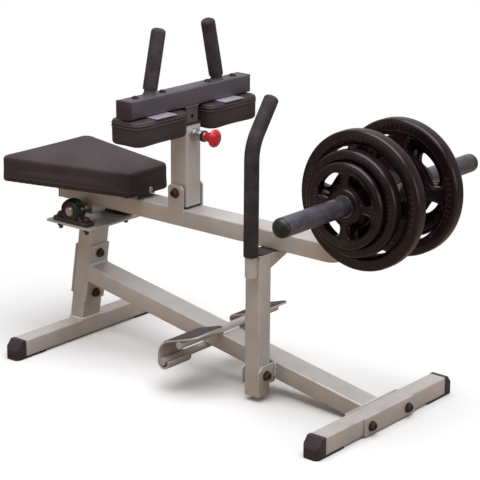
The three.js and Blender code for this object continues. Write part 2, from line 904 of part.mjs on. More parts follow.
// A closed outline with round corners, whose sides draw in towards their middles
function cushionOutline(corners, radius, waist) {
  const sideShares = [0.25, 0.5, 0.75];
  const outline = [];
  corners.forEach((corner, i) => {
    const before = corners[(i + corners.length - 1) % corners.length];
    const after = corners[(i + 1) % corners.length];
    const arrive = corner.clone().sub(before).normalize();
    const leave = after.clone().sub(corner).normalize();
    const turn = Math.acos(arrive.dot(leave));
    const setback = radius * Math.tan(turn / 2);
    const inward = new THREE.Vector2(-arrive.y, arrive.x);
    const centre = corner.clone().addScaledVector(arrive, -setback).addScaledVector(inward, radius);
    const first = Math.atan2(arrive.y, arrive.x) - Math.PI / 2;
    for (const [x, y] of arc(0, 0, 1, first, first + turn, 3)) {
      const outward = new THREE.Vector2(x, y);
      outline.push({ point: centre.clone().addScaledVector(outward, radius), outward });
    }
    const outward = new THREE.Vector2(leave.y, -leave.x);
    for (const share of sideShares) {
      const drawn = waist * (1 - (2 * share - 1) ** 2);
      const point = corner.clone().lerp(after, share).addScaledVector(outward, -drawn);
      outline.push({ point, outward });
    }
  });
  return outline;
}

// A cushion on z = 0: a flat underside, bulging sides with sewn seams, a rounded top edge and a crown
function cushion(outline, height, crown, edge, seams) {
  const shoulder = height - crown;
  const edgeShares = [0, 0.3, 1];
  const sideRings = [
    [stitchDepth, 0],
    ...seams.flatMap((z) => [
      [0, z - stitchDepth],
      [stitchDepth, z],
      [0, z + stitchDepth],
    ]),
    ...edgeShares.map((share, i) => [edge * share, shoulder - edge * edgeShares[2 - i]]),
  ];
  const crownShares = [0.8, 0.55, 0.28];
  const centre = new THREE.Vector2();
  outline.forEach(({ point }) => centre.addScaledVector(point, 1 / outline.length));
  const vertices = [];
  const ring = (inset, share, z) =>
    outline.forEach(({ point, outward }) => {
      const drawnIn = point.clone().addScaledVector(outward, -inset);
      const place = drawnIn.sub(centre).multiplyScalar(share).add(centre);
      vertices.push(place.x, place.y, z);
    });
  sideRings.forEach(([inset, z]) => ring(inset, 1, z));
  crownShares.forEach((share) => ring(edge, share, shoulder + crown * (1 - share ** 2)));
  const count = outline.length;
  const rings = sideRings.length + crownShares.length;
  const under = vertices.length / 3;
  vertices.push(centre.x, centre.y, 0, centre.x, centre.y, height);
  const faces = [];
  for (let i = 0; i < count; i += 1) {
    const next = (i + 1) % count;
    faces.push(under, next, i);
    for (let level = 0; level < rings - 1; level += 1) {
      const low = level * count;
      const high = low + count;
      faces.push(low + i, low + next, high + next, low + i, high + next, high + i);
    }
    const last = (rings - 1) * count;
    faces.push(last + i, last + next, under + 1);
  }
  return new THREE.BufferGeometry()
    .setAttribute("position", new THREE.Float32BufferAttribute(vertices, 3))
    .setIndex(faces);
}

function addSeat() {
  const half = channelWidth / 2;
  const foot = armTop + seatGap;
  const top = foot + channelHeight;
  const channel = cut(
    box(-half, half, channelFrontY, channelRearY, foot, top),
    box(
      channelSheet - half,
      half - channelSheet,
      channelFrontY - overrun,
      channelRearY + overrun,
      foot - overrun,
      top - channelSheet,
    ),
  );
  piece("seat_channel", channel, "silver_paint");
  const corners = [
    new THREE.Vector2(-seatFrontWidth / 2, seatFrontY),
    new THREE.Vector2(seatFrontWidth / 2, seatFrontY),
    new THREE.Vector2(seatRearWidth / 2, seatRearY),
    new THREE.Vector2(-seatRearWidth / 2, seatRearY),
  ];
  const outline = cushionOutline(corners, seatCorner, seatWaist);
  const pad = cushion(outline, seatHeight, seatCrown, seatEdge, [seatSeam]);
  piece("seat_cushion", pad.translate(0, 0, seatBottom), "black_vinyl");
}

// A square tube with a bush in its top end, where the inner post slides
function addThighPost() {
  const half = thighPostSide / 2;
  const bore = half - tubeWall;
  const hollow = box(
    -bore,
    bore,
    thighPostY - bore,
    thighPostY + bore,
    thighPostFoot - overrun,
    thighPostTop + overrun,
  );
  const tube = box(-half, half, thighPostY - half, thighPostY + half, thighPostFoot, thighPostTop);
  const boltBore = alongX(boltHole(-half - overrun, half + overrun)).translate(0, thighPostY, bracketBoltZ);
  const pinHole = rod(pinRadius + runningGap, thighPostY - half - overrun, thighPostY, 12);
  const pinBore = alongY(pinHole).translate(0, 0, pinZ);
  piece("thigh_post", cut(tube, hollow, boltBore, pinBore), "silver_paint");
  const capFoot = armTop + seatGap;
  const cap = box(-half, half, thighPostY - half, thighPostY + half, capFoot, capFoot + footCapHeight);
  piece("post_foot_cap", cap, "black_plastic");
  const skirt = bore - seatGap;
  const guide = innerPostSide / 2 + runningGap;
  const lipFoot = thighPostTop + seatGap;
  const skirtFoot = thighPostTop - bushDepth;
  const bush = cut(
    join(
      box(-half, half, thighPostY - half, thighPostY + half, lipFoot, lipFoot + bushLip),
      box(-skirt, skirt, thighPostY - skirt, thighPostY + skirt, skirtFoot, lipFoot + weldSink),
    ),
    box(
      -guide,
      guide,
      thighPostY - guide,
      thighPostY + guide,
      skirtFoot - overrun,
      lipFoot + bushLip + overrun,
    ),
    alongY(rod(pinRadius + runningGap, thighPostY - half, thighPostY, 12)).translate(0, 0, pinZ),
  );
  piece("post_bush", bush, "black_plastic");
}

// The bolt that holds the thigh post between the arm's brackets, with a spacer on each side of the post
function addBracketBolt() {
  const bracketFace = armWidth / 2 + armBracketThick;
  const bracketInner = armWidth / 2 - weldSink - seatGap;
  const postFace = thighPostSide / 2 + seatGap;
  const body = alongX(bolt(2 * bracketFace)).translate(-bracketFace, 0, 0);
  const spacers = [
    [-bracketInner, -postFace],
    [postFace, bracketInner],
  ].map(([from, to]) => alongX(rod(spacerRadius, from, to, 12)));
  piece("bracket_bolt", join(body, ...spacers).translate(0, thighPostY, bracketBoltZ), "bolt_steel");
}

// The spring pin that sets the pad height, drawn forward by its knob
function addPopPin() {
  const postFace = thighPostY - thighPostSide / 2 - seatGap;
  const bore = pinRadius + runningGap;
  const full = barrelLength + collarRingLength;
  const barrel = [
    [bore, 0],
    [collarRingRadius, 0],
    [collarRingRadius, collarRingLength],
    [barrelRadius, collarRingLength],
    [barrelRadius, full],
    [bore, full],
    [bore, 0],
  ];
  piece("pin_barrel", alongY(lathe(barrel, 16)).translate(0, postFace - full, pinZ), "bright_steel");
  const knobFace = postFace - full - seatGap;
  const tipY = thighPostY - innerPostSide / 2 - seatGap;
  const pin = alongY(rod(pinRadius, knobFace - knobBoreDepth + seatGap, tipY, 12)).translate(0, 0, pinZ);
  piece("pop_pin", pin, "bright_steel");
  const socket = pinRadius + seatGap;
  const neckEnd = knobLength - knobNeckLength;
  const headShares = [
    [0.5, 0.02],
    [0.85, 0.25],
    [1, 0.5],
    [0.9, 0.85],
  ];
  const knob = [
    [0, 0],
    ...headShares.map(([across, along]) => [knobRadius * across, neckEnd * along]),
    [knobNeckRadius, neckEnd],
    [knobNeckRadius, knobLength],
    [socket, knobLength],
    [socket, knobLength - knobBoreDepth],
    [0, knobLength - knobBoreDepth],
  ];
  piece("pin_knob", alongY(lathe(knob, 18)).translate(0, knobFace - knobLength, pinZ), "red_plastic");
}

function innerPost() {
  const half = innerPostSide / 2;
  const foot = bracketBoltZ + boltRadius + innerPostLift;
  const top = crossbarBottom - seatGap;
  const bore = half - tubeWall;
  const holes = Array.from({ length: pinHolesBelow + pinHolesAbove + 1 }, (_, i) =>
    alongY(rod(pinRadius + runningGap, thighPostY - half - overrun, thighPostY, 8)).translate(
      0,
      0,
      pinZ + (i - pinHolesBelow) * pinHolePitch,
    ),
  );
  return cut(
    box(-half, half, thighPostY - half, thighPostY + half, foot, top),
    box(-bore, bore, thighPostY - bore, thighPostY + bore, foot - overrun, top + overrun),
    ...holes,
  );
}

// From a hand grip's own frame, with its foot on the crossbar and its length along z
function gripPlace(geometry, side) {
  return geometry.rotateY(-side * gripLean).translate((side * gripSpacing) / 2, gripY, crossbarTop);
}

function crossbar() {
  const half = crossbarLength / 2;
  const deep = crossbarSide / 2;
  const tube = cut(
    box(-half, half, thighPostY - deep, thighPostY + deep, crossbarBottom, crossbarTop),
    box(
      -half - overrun,
      half + overrun,
      thighPostY - deep + tubeWall,
      thighPostY + deep - tubeWall,
      crossbarBottom + tubeWall,
      crossbarTop - tubeWall,
    ),
  );
  const coreTop = gripLength - gripCoreRadius - foamThick;
  const cores = hands.map(({ side }) => gripPlace(rod(gripCoreRadius, -2 * tubeWall, coreTop, 16), side));
  return join(tube, ...cores);
}

function crossbarCap(side) {
  const deep = crossbarSide / 2;
  const face = crossbarLength / 2 + seatGap;
  const length = crossbarCapLength + seatGap;
  const end = face + length;
  const corner = Math.min(crossbarCapRadius, deep);
  const stretch = length / corner;
  const round = (y, from, to) =>
    arc(0, 0, corner, from, to, 4).map(([x, dy]) => [end - length + x * stretch, y + dy]);
  const plan = [
    [face, thighPostY - deep],
    ...round(thighPostY - deep + corner, -Math.PI / 2, 0),
    ...round(thighPostY + deep - corner, 0, Math.PI / 2),
    [face, thighPostY + deep],
  ].map(([x, y]) => [side * x, y]);
  const bore = deep - tubeWall - seatGap;
  const middle = crossbarBottom + deep;
  const plug = box(
    ...span(side, face - plugLength, face + weldSink),
    thighPostY - bore,
    thighPostY + bore,
    middle - bore,
    middle + bore,
  );
  return join(planSlab(plan, crossbarBottom, crossbarTop), plug);
}

function handGrip(side) {
  const outer = gripCoreRadius + foamThick;
  const inner = gripCoreRadius + seatGap;
  const ceiling = gripLength - outer + seatGap;
  const dome = arc(0, gripLength - outer, outer, 0, Math.PI / 2, 4);
  const profile = [
    [0, ceiling],
    [inner, ceiling],
    [inner, gripStub],
    [outer, gripStub],
    ...dome.slice(0, -1),
    [0, gripLength],
  ];
  return gripPlace(lathe(profile, 16), side);
}

function thighPad(side) {
  const [xFrom, xTo] = span(side, padInner, padOuter);
  const yFrom = padCentreY - padLength / 2;
  const yTo = padCentreY + padLength / 2;
  const corners = [
    new THREE.Vector2(-xTo, yFrom),
    new THREE.Vector2(-xFrom, yFrom),
    new THREE.Vector2(-xFrom, yTo),
    new THREE.Vector2(-xTo, yTo),
  ];
  const seams = [padSeams.near, padSeams.far];
  const top = crossbarBottom - seatGap - padPlateThick - seatGap;
  return cushion(cushionOutline(corners, padCorner, padWaist), padHeight, padCrown, padEdge, seams)
    .rotateY(Math.PI)
    .translate(0, 0, top);
}

function addPadCarriage() {
  piece("inner_post", innerPost(), "crossbar_paint");
  piece("crossbar", crossbar(), "crossbar_paint");
  const plateTop = crossbarBottom - seatGap;
  for (const { hand, side } of hands) {
    piece(`crossbar_cap_${hand}`, crossbarCap(side), "black_plastic");
    const plate = box(
      ...span(side, padPlateOuter - padPlateWidth, padPlateOuter),
      padCentreY - padPlateLength / 2,
      padCentreY + padPlateLength / 2,
      plateTop - padPlateThick,
      plateTop,
    );
    piece(`pad_plate_${hand}`, plate, "plate_zinc");
    piece(`thigh_pad_${hand}`, thighPad(side), "black_vinyl");
    piece(`hand_grip_${hand}`, handGrip(side), "foam");
  }
}

// The rest pad's surface is level beside the arm, and under the arm it is round about the catch's pivot,
// so that the catch swings out from under the resting arm without lifting it.
const armEdge = -armWidth / 2;
const restTop = armBottom - seatGap;
const headTop = restTop - restThick - seatGap;
const handleX = catchX - catchSide / 2 - handleRadius - seatGap;
const gripFace = handleX + handleRadius + foamThick + gripClearance;
const restSweep = Math.hypot(restTop - catchPivotZ, armEdge - catchX);

function restHeight(x, depth) {
  const level = restTop - depth;
  return x <= armEdge ? level : catchPivotZ + Math.sqrt((restSweep - depth) ** 2 - (x - catchX) ** 2);
}

function restLine(depth, from) {
  const steps = 4;
  const curved = Array.from({ length: steps + 1 }, (_, i) => armEdge + ((headReach - armEdge) * i) / steps);
  return [from, ...curved].map((x) => [x, restHeight(x, depth)]);
}

function catchPost() {
  const half = catchSide / 2;
  const bore = half - tubeWall;
  const headDepth = restThick + seatGap;
  const plateFoot = headTop - headTopThick;
  const tube = cut(
    box(catchX - half, catchX + half, catchY - half, catchY + half, catchFootZ, plateFoot + weldSink),
    box(
      catchX - bore,
      catchX + bore,
      catchY - bore,
      catchY + bore,
      catchFootZ - overrun,
      plateFoot + weldSink + overrun,
    ),
  );
  const root = catchX + half - weldSink;
  const head = [
    [catchX - half, plateFoot],
    [root, plateFoot],
    [root, headRoot],
    [headReach, restHeight(headReach, headDepth) - headTipDepth],
    ...restLine(headDepth, catchX - half).reverse(),
  ];
  const pivotBore = alongY(boltHole(catchY - half - overrun, catchY + half + overrun)).translate(
    catchX,
    0,
    catchPivotZ,
  );
  return cut(join(tube, frontSlab(head, catchY - half, catchY + half)), pivotBore);
}

function catchRestPad() {
  const half = catchSide / 2;
  const outline = [...restLine(restThick, gripFace), ...restLine(0, gripFace).reverse()];
  return frontSlab(outline, catchY - half, catchY + half);
}

// A path given station by station, each with its heading
class Route extends THREE.Curve {
  constructor(stations) {
    super();
    this.stations = stations;
  }

  getUtoTmapping(u) {
    return u;
  }

  stationAt(t) {
    return this.stations[Math.round(t * (this.stations.length - 1))];
  }

  getPoint(t) {
    return this.stationAt(t).point.clone();
  }

  getTangent(t) {
    return this.stationAt(t).heading.clone();
  }
}

function swept(radius, sides, stations) {
  const section = new THREE.Shape(
    arc(0, 0, radius, 0, 2 * Math.PI, sides)
      .slice(0, -1)
      .map(([x, y]) => new THREE.Vector2(x, y)),
  );
  return new THREE.ExtrudeGeometry(section, {
    steps: stations.length - 1,
    extrudePath: new Route(stations),
  });
}

// The handle tube rises beside the post and bends in over the beam
function handleStations(from, tip) {
  const bendX = handleX + handleBendRadius;
  const up = new THREE.Vector3(0, 0, 1);
  const stations = [{ point: new THREE.Vector3(handleX, handleY, from), heading: up }];
  const steps = 6;
  for (let i = 0; i <= steps; i += 1) {
    const angle = (handleLean * i) / steps;
    stations.push({
      point: new THREE.Vector3(
        bendX - handleBendRadius * Math.cos(angle),
        handleY,
        handleBendZ + handleBendRadius * Math.sin(angle),
      ),
      heading: new THREE.Vector3(Math.sin(angle), 0, Math.cos(angle)),
    });
  }
  const last = stations[stations.length - 1];
  stations.push({ point: last.point.clone().addScaledVector(last.heading, tip), heading: last.heading });
  return stations;
}

function addCatch() {
  piece("catch_post", catchPost(), "silver_paint");
  piece("catch_rest_pad", catchRestPad(), "boot_rubber");
  const coreTip = handleTip - foamThick;
  const foamFoot = headTop + gripClearance;
  piece("catch_handle", swept(handleRadius, 14, handleStations(handleFootZ, coreTip)), "silver_paint");
  const foam = cut(
    swept(handleRadius + foamThick, 14, handleStations(foamFoot, handleTip)),
    swept(handleRadius + seatGap, 14, handleStations(foamFoot - overrun, coreTip + seatGap)),
  );
  piece("catch_grip", foam, "foam");
  const reach = catchSide / 2 + catchBracketGap + catchBracketThick;
  const pivot = alongY(bolt(2 * reach)).translate(catchX, catchY - reach, catchPivotZ);
  piece("catch_bolt", pivot, "bolt_steel");
}

addBase();
addBeam();
addRearPost();
addPivot();
addFootRest();
addArm();
addWeights();
addSeat();
addThighPost();
addBracketBolt();
addPopPin();
addPadCarriage();
addCatch();

// The middle of the machine's length lies between the seat's rear edge and the large plate's rim
machine.position.y = -(seatRearY + axleY - plateRadius.large) / 2;

export default machine;
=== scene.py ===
import math

import bmesh
import bpy
import numpy as np
from mathutils import Matrix


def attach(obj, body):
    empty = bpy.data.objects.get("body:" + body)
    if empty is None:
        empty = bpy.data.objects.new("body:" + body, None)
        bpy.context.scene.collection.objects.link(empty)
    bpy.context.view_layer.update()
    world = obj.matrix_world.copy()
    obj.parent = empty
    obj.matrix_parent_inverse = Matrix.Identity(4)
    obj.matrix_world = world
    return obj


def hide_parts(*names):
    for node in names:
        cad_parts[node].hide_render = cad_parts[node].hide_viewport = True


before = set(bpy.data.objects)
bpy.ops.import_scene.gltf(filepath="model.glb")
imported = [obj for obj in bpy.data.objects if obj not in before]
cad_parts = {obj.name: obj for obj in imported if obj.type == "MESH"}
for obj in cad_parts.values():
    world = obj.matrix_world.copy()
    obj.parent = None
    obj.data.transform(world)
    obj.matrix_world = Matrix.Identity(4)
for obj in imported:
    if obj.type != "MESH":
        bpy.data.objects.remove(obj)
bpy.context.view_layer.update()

# Studio: a pale floor under a white sky, which is brighter behind the machine like a paper backdrop, one
# broad lamp overhead and two weak ones at the sides. The camera has the photograph's angle and a long lens.
scene = bpy.context.scene
scene.view_settings.view_transform = "Standard"

CAMERA_PLACE = (-3.5111, -2.94018, 1.7884)
CAMERA_AZIMUTH = math.radians(-50.591)
CAMERA_ELEVATION = math.radians(16.912)
CAMERA_ROLL = math.radians(0.43)
CAMERA_LENS = 131.09
SKY_LIGHT = 0.24
BACKDROP_LIGHT = 0.62
FLOOR_REACH = 14


class Value:
    """One output socket of a shader. Sums, products and powers of values add Math nodes to it."""

    def __init__(self, shader, socket):
        self.shader = shader
        self.socket = socket

    def math(self, operation, *terms):
        return self.shader.node("ShaderNodeMath", {"operation": operation}, dict(enumerate(terms)))

    def __add__(self, other):
        return self.math("ADD", self, other)

    def __radd__(self, other):
        return self.math("ADD", other, self)

    def __sub__(self, other):
        return self.math("SUBTRACT", self, other)

    def __rsub__(self, other):
        return self.math("SUBTRACT", other, self)

    def __mul__(self, other):
        return self.math("MULTIPLY", self, other)

    def __rmul__(self, other):
        return self.math("MULTIPLY", other, self)

    def __pow__(self, other):
        return self.math("POWER", self, other)


class Shader:
    """A node tree that is written as expressions."""

    def __init__(self, tree):
        self.tree = tree
        tree.nodes.clear()

    def node(self, kind, settings, sockets, out=0):
        """Adds one node: first its settings, then the values or links of its sockets. Gives one output."""
        made = self.tree.nodes.new(kind)
        for name, setting in settings.items():
            setattr(made, name, setting)
        for name, value in sockets.items():
            if isinstance(value, Value):
                self.tree.links.new(value.socket, made.inputs[name])
            else:
                made.inputs[name].default_value = value
        return Value(self, made.outputs[out])

    def mix(self, share, low, high):
        """The colour low where share is 0, and high where it is 1."""
        return self.node("ShaderNodeMix", {"data_type": "RGBA"}, {0: share, 6: low, 7: high}, 2)

    def rise(self, value, low, high, start=0.0, end=1.0):
        """start where the value is below low, end above high, and a smooth step between."""
        sockets = {"Value": value, "From Min": low, "From Max": high, "To Min": start, "To Max": end}
        return self.node("ShaderNodeMapRange", {"interpolation_type": "SMOOTHSTEP"}, sockets)

    def seen(self):
        """1 for what the camera sees directly, and 0 for all other light."""
        return self.node("ShaderNodeLightPath", {}, {}, "Is Camera Ray")

    def show(self, kind, surface):
        """Ends the tree in an output node of that kind."""
        made = self.tree.nodes.new(kind)
        self.tree.links.new(surface.socket, made.inputs["Surface"])


world = bpy.data.worlds.new("studio_sky")
world.use_nodes = True
scene.world = world
sky = Shader(world.node_tree)
way_out = sky.node("ShaderNodeTexCoord", {}, {}, "Generated")
behind_way = (-math.sin(CAMERA_AZIMUTH), math.cos(CAMERA_AZIMUTH), 0)
behind = sky.node("ShaderNodeVectorMath", {"operation": "DOT_PRODUCT"}, {0: way_out, 1: behind_way}, "Value")
backdrop = sky.rise(behind, 0.2, 0.9, SKY_LIGHT, BACKDROP_LIGHT)
lit = sky.node("ShaderNodeBackground", {}, {"Color": (1, 0.96, 0.92, 1), "Strength": backdrop})
white = sky.node("ShaderNodeBackground", {}, {"Color": (1, 1, 1, 1), "Strength": 1.0})
sky.show("ShaderNodeOutputWorld", sky.node("ShaderNodeMixShader", {}, {0: sky.seen(), 1: lit, 2: white}))

floor_mesh = bpy.data.meshes.new("studio_floor")
floor_corners = [(x * FLOOR_REACH, y * FLOOR_REACH, 0) for x, y in ((-1, -1), (1, -1), (1, 1), (-1, 1))]
floor_mesh.from_pydata(floor_corners, [], [(0, 1, 2, 3)])
floor = bpy.data.objects.new("studio_floor", floor_mesh)
scene.collection.objects.link(floor)
floor_finish = bpy.data.materials.new("floor_paper")
floor_finish.use_nodes = True
paper = Shader(floor_finish.node_tree)
pale = paper.node("ShaderNodeBsdfDiffuse", {}, {"Color": (0.93, 0.93, 0.93, 1)})
dull = paper.node("ShaderNodeBsdfDiffuse", {}, {"Color": (0.32, 0.25, 0.19, 1)})
blank = paper.node("ShaderNodeEmission", {}, {"Color": (1, 1, 1, 1), "Strength": 1.0})
spot = paper.node("ShaderNodeTexCoord", {}, {}, "Object")
reach = paper.node("ShaderNodeVectorMath", {"operation": "LENGTH"}, {0: spot}, "Value")
faded = paper.node("ShaderNodeMixShader", {}, {0: paper.rise(reach, 0.7, 1.7), 1: pale, 2: blank})
laid = paper.node("ShaderNodeMixShader", {}, {0: paper.seen(), 1: dull, 2: faded})
paper.show("ShaderNodeOutputMaterial", laid)
floor_mesh.materials.append(floor_finish)


def lamp(name, place, target, size, power, colour):
    """A square area lamp at place that faces target."""
    light = bpy.data.lights.new(name, "AREA")
    light.size = size
    light.energy = power
    light.color = colour
    made = bpy.data.objects.new(name, light)
    made.location = place
    back = np.array(place, float) - np.array(target, float)
    back /= np.linalg.norm(back)
    side = np.cross((0, 1, 0.01), back)
    side /= np.linalg.norm(side)
    turn = Matrix(np.column_stack([side, np.cross(back, side), back]).tolist())
    made.rotation_euler = turn.to_euler()
    scene.collection.objects.link(made)


lamp("overhead_lamp", (-0.5, -0.6, 4.2), (0, 0, 0.3), 4.4, 240, (0.97, 0.98, 1))
lamp("front_lamp", (0.9, -4.4, 1.7), (0, 0, 0.4), 2.0, 34, (1, 0.94, 0.91))
lamp("side_lamp", (-4.4, 1.4, 1.3), (0, 0, 0.4), 1.8, 15, (1, 0.7, 0.52))

flat_back = np.array([math.sin(CAMERA_AZIMUTH), -math.cos(CAMERA_AZIMUTH), 0])
cam_back = flat_back * math.cos(CAMERA_ELEVATION) + (0, 0, math.sin(CAMERA_ELEVATION))
level = np.cross(-cam_back, (0, 0, 1))
level /= np.linalg.norm(level)
raised = np.cross(level, -cam_back)
cam_right = level * math.cos(CAMERA_ROLL) + raised * math.sin(CAMERA_ROLL)
cam_up = raised * math.cos(CAMERA_ROLL) - level * math.sin(CAMERA_ROLL)
camera_data = bpy.data.cameras.new("photo_camera")
camera_data.lens = CAMERA_LENS
camera_data.sensor_width = 36
camera_data.clip_end = 60
camera = bpy.data.objects.new("photo_camera", camera_data)
turned_to = np.eye(4)
turned_to[:3] = np.column_stack([cam_right, cam_up, cam_back, CAMERA_PLACE])
camera.matrix_world = Matrix(turned_to.tolist())
scene.collection.objects.link(camera)
scene.camera = camera

# Stabilizers: two 50 mm square steel tubes across the floor, one at each end of the machine.
# They are cut from drawn tube with 2.5 mm walls and powder coated in a satin silver.
MM = 0.001
FRONT_FACE = -0.55888  # where the front stabilizer's front face lies
X_WAY, Y_WAY, Z_WAY = (1, 0, 0), (0, 1, 0), (0, 0, 1)
STABILIZER_LENGTH = 536
SOLE = 5
WHEELBASE = 1071.5
HALF_TUBE = 25  # half of the 50 mm square tube, as for the crossbar and the catch
TUBE_CORNER = 4.5
TUBE_WALL = 2.5


def at(x, y, z):
    """A place or an array of places in metres, from millimetres across, behind the front face, and up."""
    x, y, z = np.broadcast_arrays(x, y, z)
    return np.stack([x * MM, y * MM + FRONT_FACE, z * MM], axis=-1)


def round_box(half_s, half_t, corner, steps=5):
    """A rectangle's outline with round corners: four arcs of the corner's radius, in mm, as (s, t) pairs."""
    angle = np.linspace(0, math.pi / 2, steps) + np.arange(4)[:, None] * math.pi / 2
    signs = np.array([(1, 1), (-1, 1), (-1, -1), (1, -1)])[:, None, :]
    arcs = corner * np.stack([np.cos(angle), np.sin(angle)], axis=-1)
    return (signs * (half_s - corner, half_t - corner) + arcs).reshape(-1, 2)


def carry(section, centres, across, up, scale=1.0):
    """Rings of a closed section carried along a path: centre + scale (s across + t up), with s and t in mm.
    The section is one list of (s, t), or one list to a ring."""
    centres = np.atleast_2d(centres)
    across = np.broadcast_to(across, centres.shape)[:, None, :]
    up = np.broadcast_to(up, centres.shape)[:, None, :]
    scale = np.broadcast_to(scale, len(centres))[:, None, None] * MM
    return centres[:, None, :] + scale * (section[..., :1] * across + section[..., 1:] * up)


def quads(rows, count, looped=False):
    """The faces between neighbouring rings of count points, as four point numbers each."""
    ring = np.arange(rows if looped else rows - 1)[:, None] * count
    step = np.arange(count)
    ahead = (step + 1) % count
    over = (ring + count) % (rows * count)
    return np.stack([ring + step, ring + ahead, over + ahead, over + step], axis=-1).reshape(-1, 4)


def skin(name, rings, looped=False, edge=0.0, smooth=35):
    """A closed mesh over an array of rings: each ring's points join the next ring's by quads.
    The first and last ring are filled, or joined to each other in a looped skin.
    edge is the wear, which the powder coat also shows as a painted edge highlight: one value, one to a ring
    as a column, or one to a point of the section as a row."""
    rows, count = rings.shape[:2]
    faces = quads(rows, count, looped).tolist()
    if not looped:
        faces += [list(range(count))[::-1], list(range((rows - 1) * count, rows * count))]
    mesh = bpy.data.meshes.new(name)
    mesh.from_pydata(rings.reshape(-1, 3).tolist(), [], faces)
    wear = np.broadcast_to(np.asarray(edge, np.float32), (rows, count))
    mesh.attributes.new("edge", "FLOAT", "POINT").data.foreach_set("value", wear.reshape(-1))
    return outward(name, mesh, smooth)


def outward(name, mesh, smooth=35):
    """Turns a closed mesh's faces outwards, shades it smooth up to an angle, and makes it an object."""
    work = bmesh.new()
    work.from_mesh(mesh)
    if work.calc_volume(signed=True) < 0:
        bmesh.ops.reverse_faces(work, faces=work.faces)
    work.to_mesh(mesh)
    work.free()
    mesh.shade_smooth()
    mesh.set_sharp_from_angle(angle=math.radians(smooth))
    piece = bpy.data.objects.new(name, mesh)
    scene.collection.objects.link(piece)
    return piece


def settle(piece, material, body, *nodes, slot=""):
    """Gives a piece its finish, lets it ride on its body, and hides the CAD nodes that it stands for.
    slot is not used."""
    piece.data.materials.clear()
    piece.data.materials.append(material)
    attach(piece, body)
    if nodes:
        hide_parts(*nodes)
    return piece


def square_tube(name, ends, half_s, half_t, corner=TUBE_CORNER, wall=TUBE_WALL):
    """A hollow tube of round cornered section between end planes, each given as (centre, across, up).
    Its rings run along the outside and back along the inside, so both ends are open."""
    outside = round_box(half_s, half_t, corner)
    inside = round_box(half_s - wall, half_t - wall, max(corner - wall, 0.8))
    lip = round_box(half_s - 0.4, half_t - 0.4, corner)
    stations = [carry(outside, *end)[0] for end in ends]
    returned = [carry(inside, *end)[0] for end in ends[::-1]]
    rings = np.array([carry(lip, *ends[0])[0], *stations, carry(lip, *ends[-1])[0], *returned])
    # The corner values mark the rounded corners for wear and for the powder coat's painted edge highlight.
    return skin(name, rings, looped=True, edge=[[0.2, 0.8, 1, 0.8, 0.2] * 4])


class Finish(Shader):
    """A material with one Principled surface. Its constants sit on the surface's own sockets."""

    def __init__(self, name, **constants):
        self.material = bpy.data.materials.new(name)
        self.material.use_nodes = True
        super().__init__(self.material.node_tree)
        self.constants = {words.replace("_", " "): value for words, value in constants.items()}
        self.place = self.node("ShaderNodeTexCoord", {}, {}, "Object")
        self.edge = self.node("ShaderNodeAttribute", {"attribute_name": "edge"}, {}, "Fac")

    def grain(self, scale, detail, place=None):
        """Noise between 0 and 1, with scale features to the metre."""
        sockets = {"Vector": place or self.place, "Scale": scale, "Detail": detail, "Roughness": 0.5}
        return self.node("ShaderNodeTexNoise", {}, sockets, "Fac")

    def stretched(self, x, y, z):
        """The object's coordinates scaled along its axes, for a grain that runs one way."""
        return self.node("ShaderNodeMapping", {}, {"Vector": self.place, "Scale": (x, y, z)})

    def close(self, colour, roughness, height, depth):
        """Joins colour, roughness and a height of that depth in metres to the surface."""
        sockets = {"Strength": 1.0, "Distance": depth, "Height": height}
        bump = self.node("ShaderNodeBump", {}, sockets, "Normal")
        sockets = {"Base Color": colour, "Roughness": roughness, "Normal": bump, **self.constants}
        self.show("ShaderNodeOutputMaterial", self.node("ShaderNodeBsdfPrincipled", {}, sockets, "BSDF"))
        return self.material


def tone(red, green, blue):
    """A colour given as it looks on a screen, 0 to 255, in the linear values that a socket takes."""
    share = np.array([red, green, blue]) / 255
    linear = np.where(share <= 0.04045, share / 12.92, ((share + 0.055) / 1.055) ** 2.4)
    return (*linear.tolist(), 1.0)


def powder_coat(name, body, light, rub_and_highlight, metallic, rough):
    """Powder coat: orange peel, fine flake, a broad drift of tone, and paler edges that are partly paint
    rubbed thin and partly a painted highlight.
    """
    paint = Finish(name, Metallic=metallic, Specular_IOR_Level=0.5)
    drift = paint.grain(5, 2)
    flake = paint.grain(1900, 1)
    peel = paint.grain(330, 2)
    scuff = paint.rise(paint.grain(38, 6, paint.stretched(1, 0.35, 1)), 0.6, 0.72)
    thin_and_highlit = paint.edge * paint.rise(paint.grain(20, 3), 0.25, 0.75)
    colour = paint.mix(paint.rise(drift, 0.3, 0.7), body, light)
    colour = paint.mix(paint.rise(flake, 0.56, 0.78) * 0.35, colour, light)
    colour = paint.mix(paint.rise(flake, 0.44, 0.22) * 0.3, colour, body)
    # The edges are mixed toward the paler tone: partly paint rubbed thin, partly a painted highlight along
    # the rounded edges.
    colour = paint.mix(thin_and_highlit * 0.45, colour, rub_and_highlight)
    roughness = rough + drift * 0.07 + scuff * 0.1 - thin_and_highlit * 0.08
    return paint.close(colour, roughness, peel * 0.75 + flake * 0.25, 0.00016)


# The last colour is the paler edge tone: partly rubbed paint, partly a painted highlight.
silver_paint = powder_coat(
    "silver_paint", tone(194, 190, 188), tone(208, 205, 204), tone(240, 239, 238), 0.35, 0.36
)

for end, foremost in (("front", 0), ("rear", WHEELBASE)):
    half = STABILIZER_LENGTH / 2
    ends = [(at(x, foremost + HALF_TUBE, SOLE + HALF_TUBE), Y_WAY, Z_WAY) for x in (-half, half)]
    tube = square_tube(f"{end}_stabilizer_tube", ends, HALF_TUBE, HALF_TUBE)
    settle(tube, silver_paint, "frame", f"{end}_stabilizer")

# Boots: moulded black rubber shoes pushed into the ends of the stabilizers.
# Each has a sloping nose and a sole that runs back under the tube.
HANDS = (("right", -1), ("left", 1))


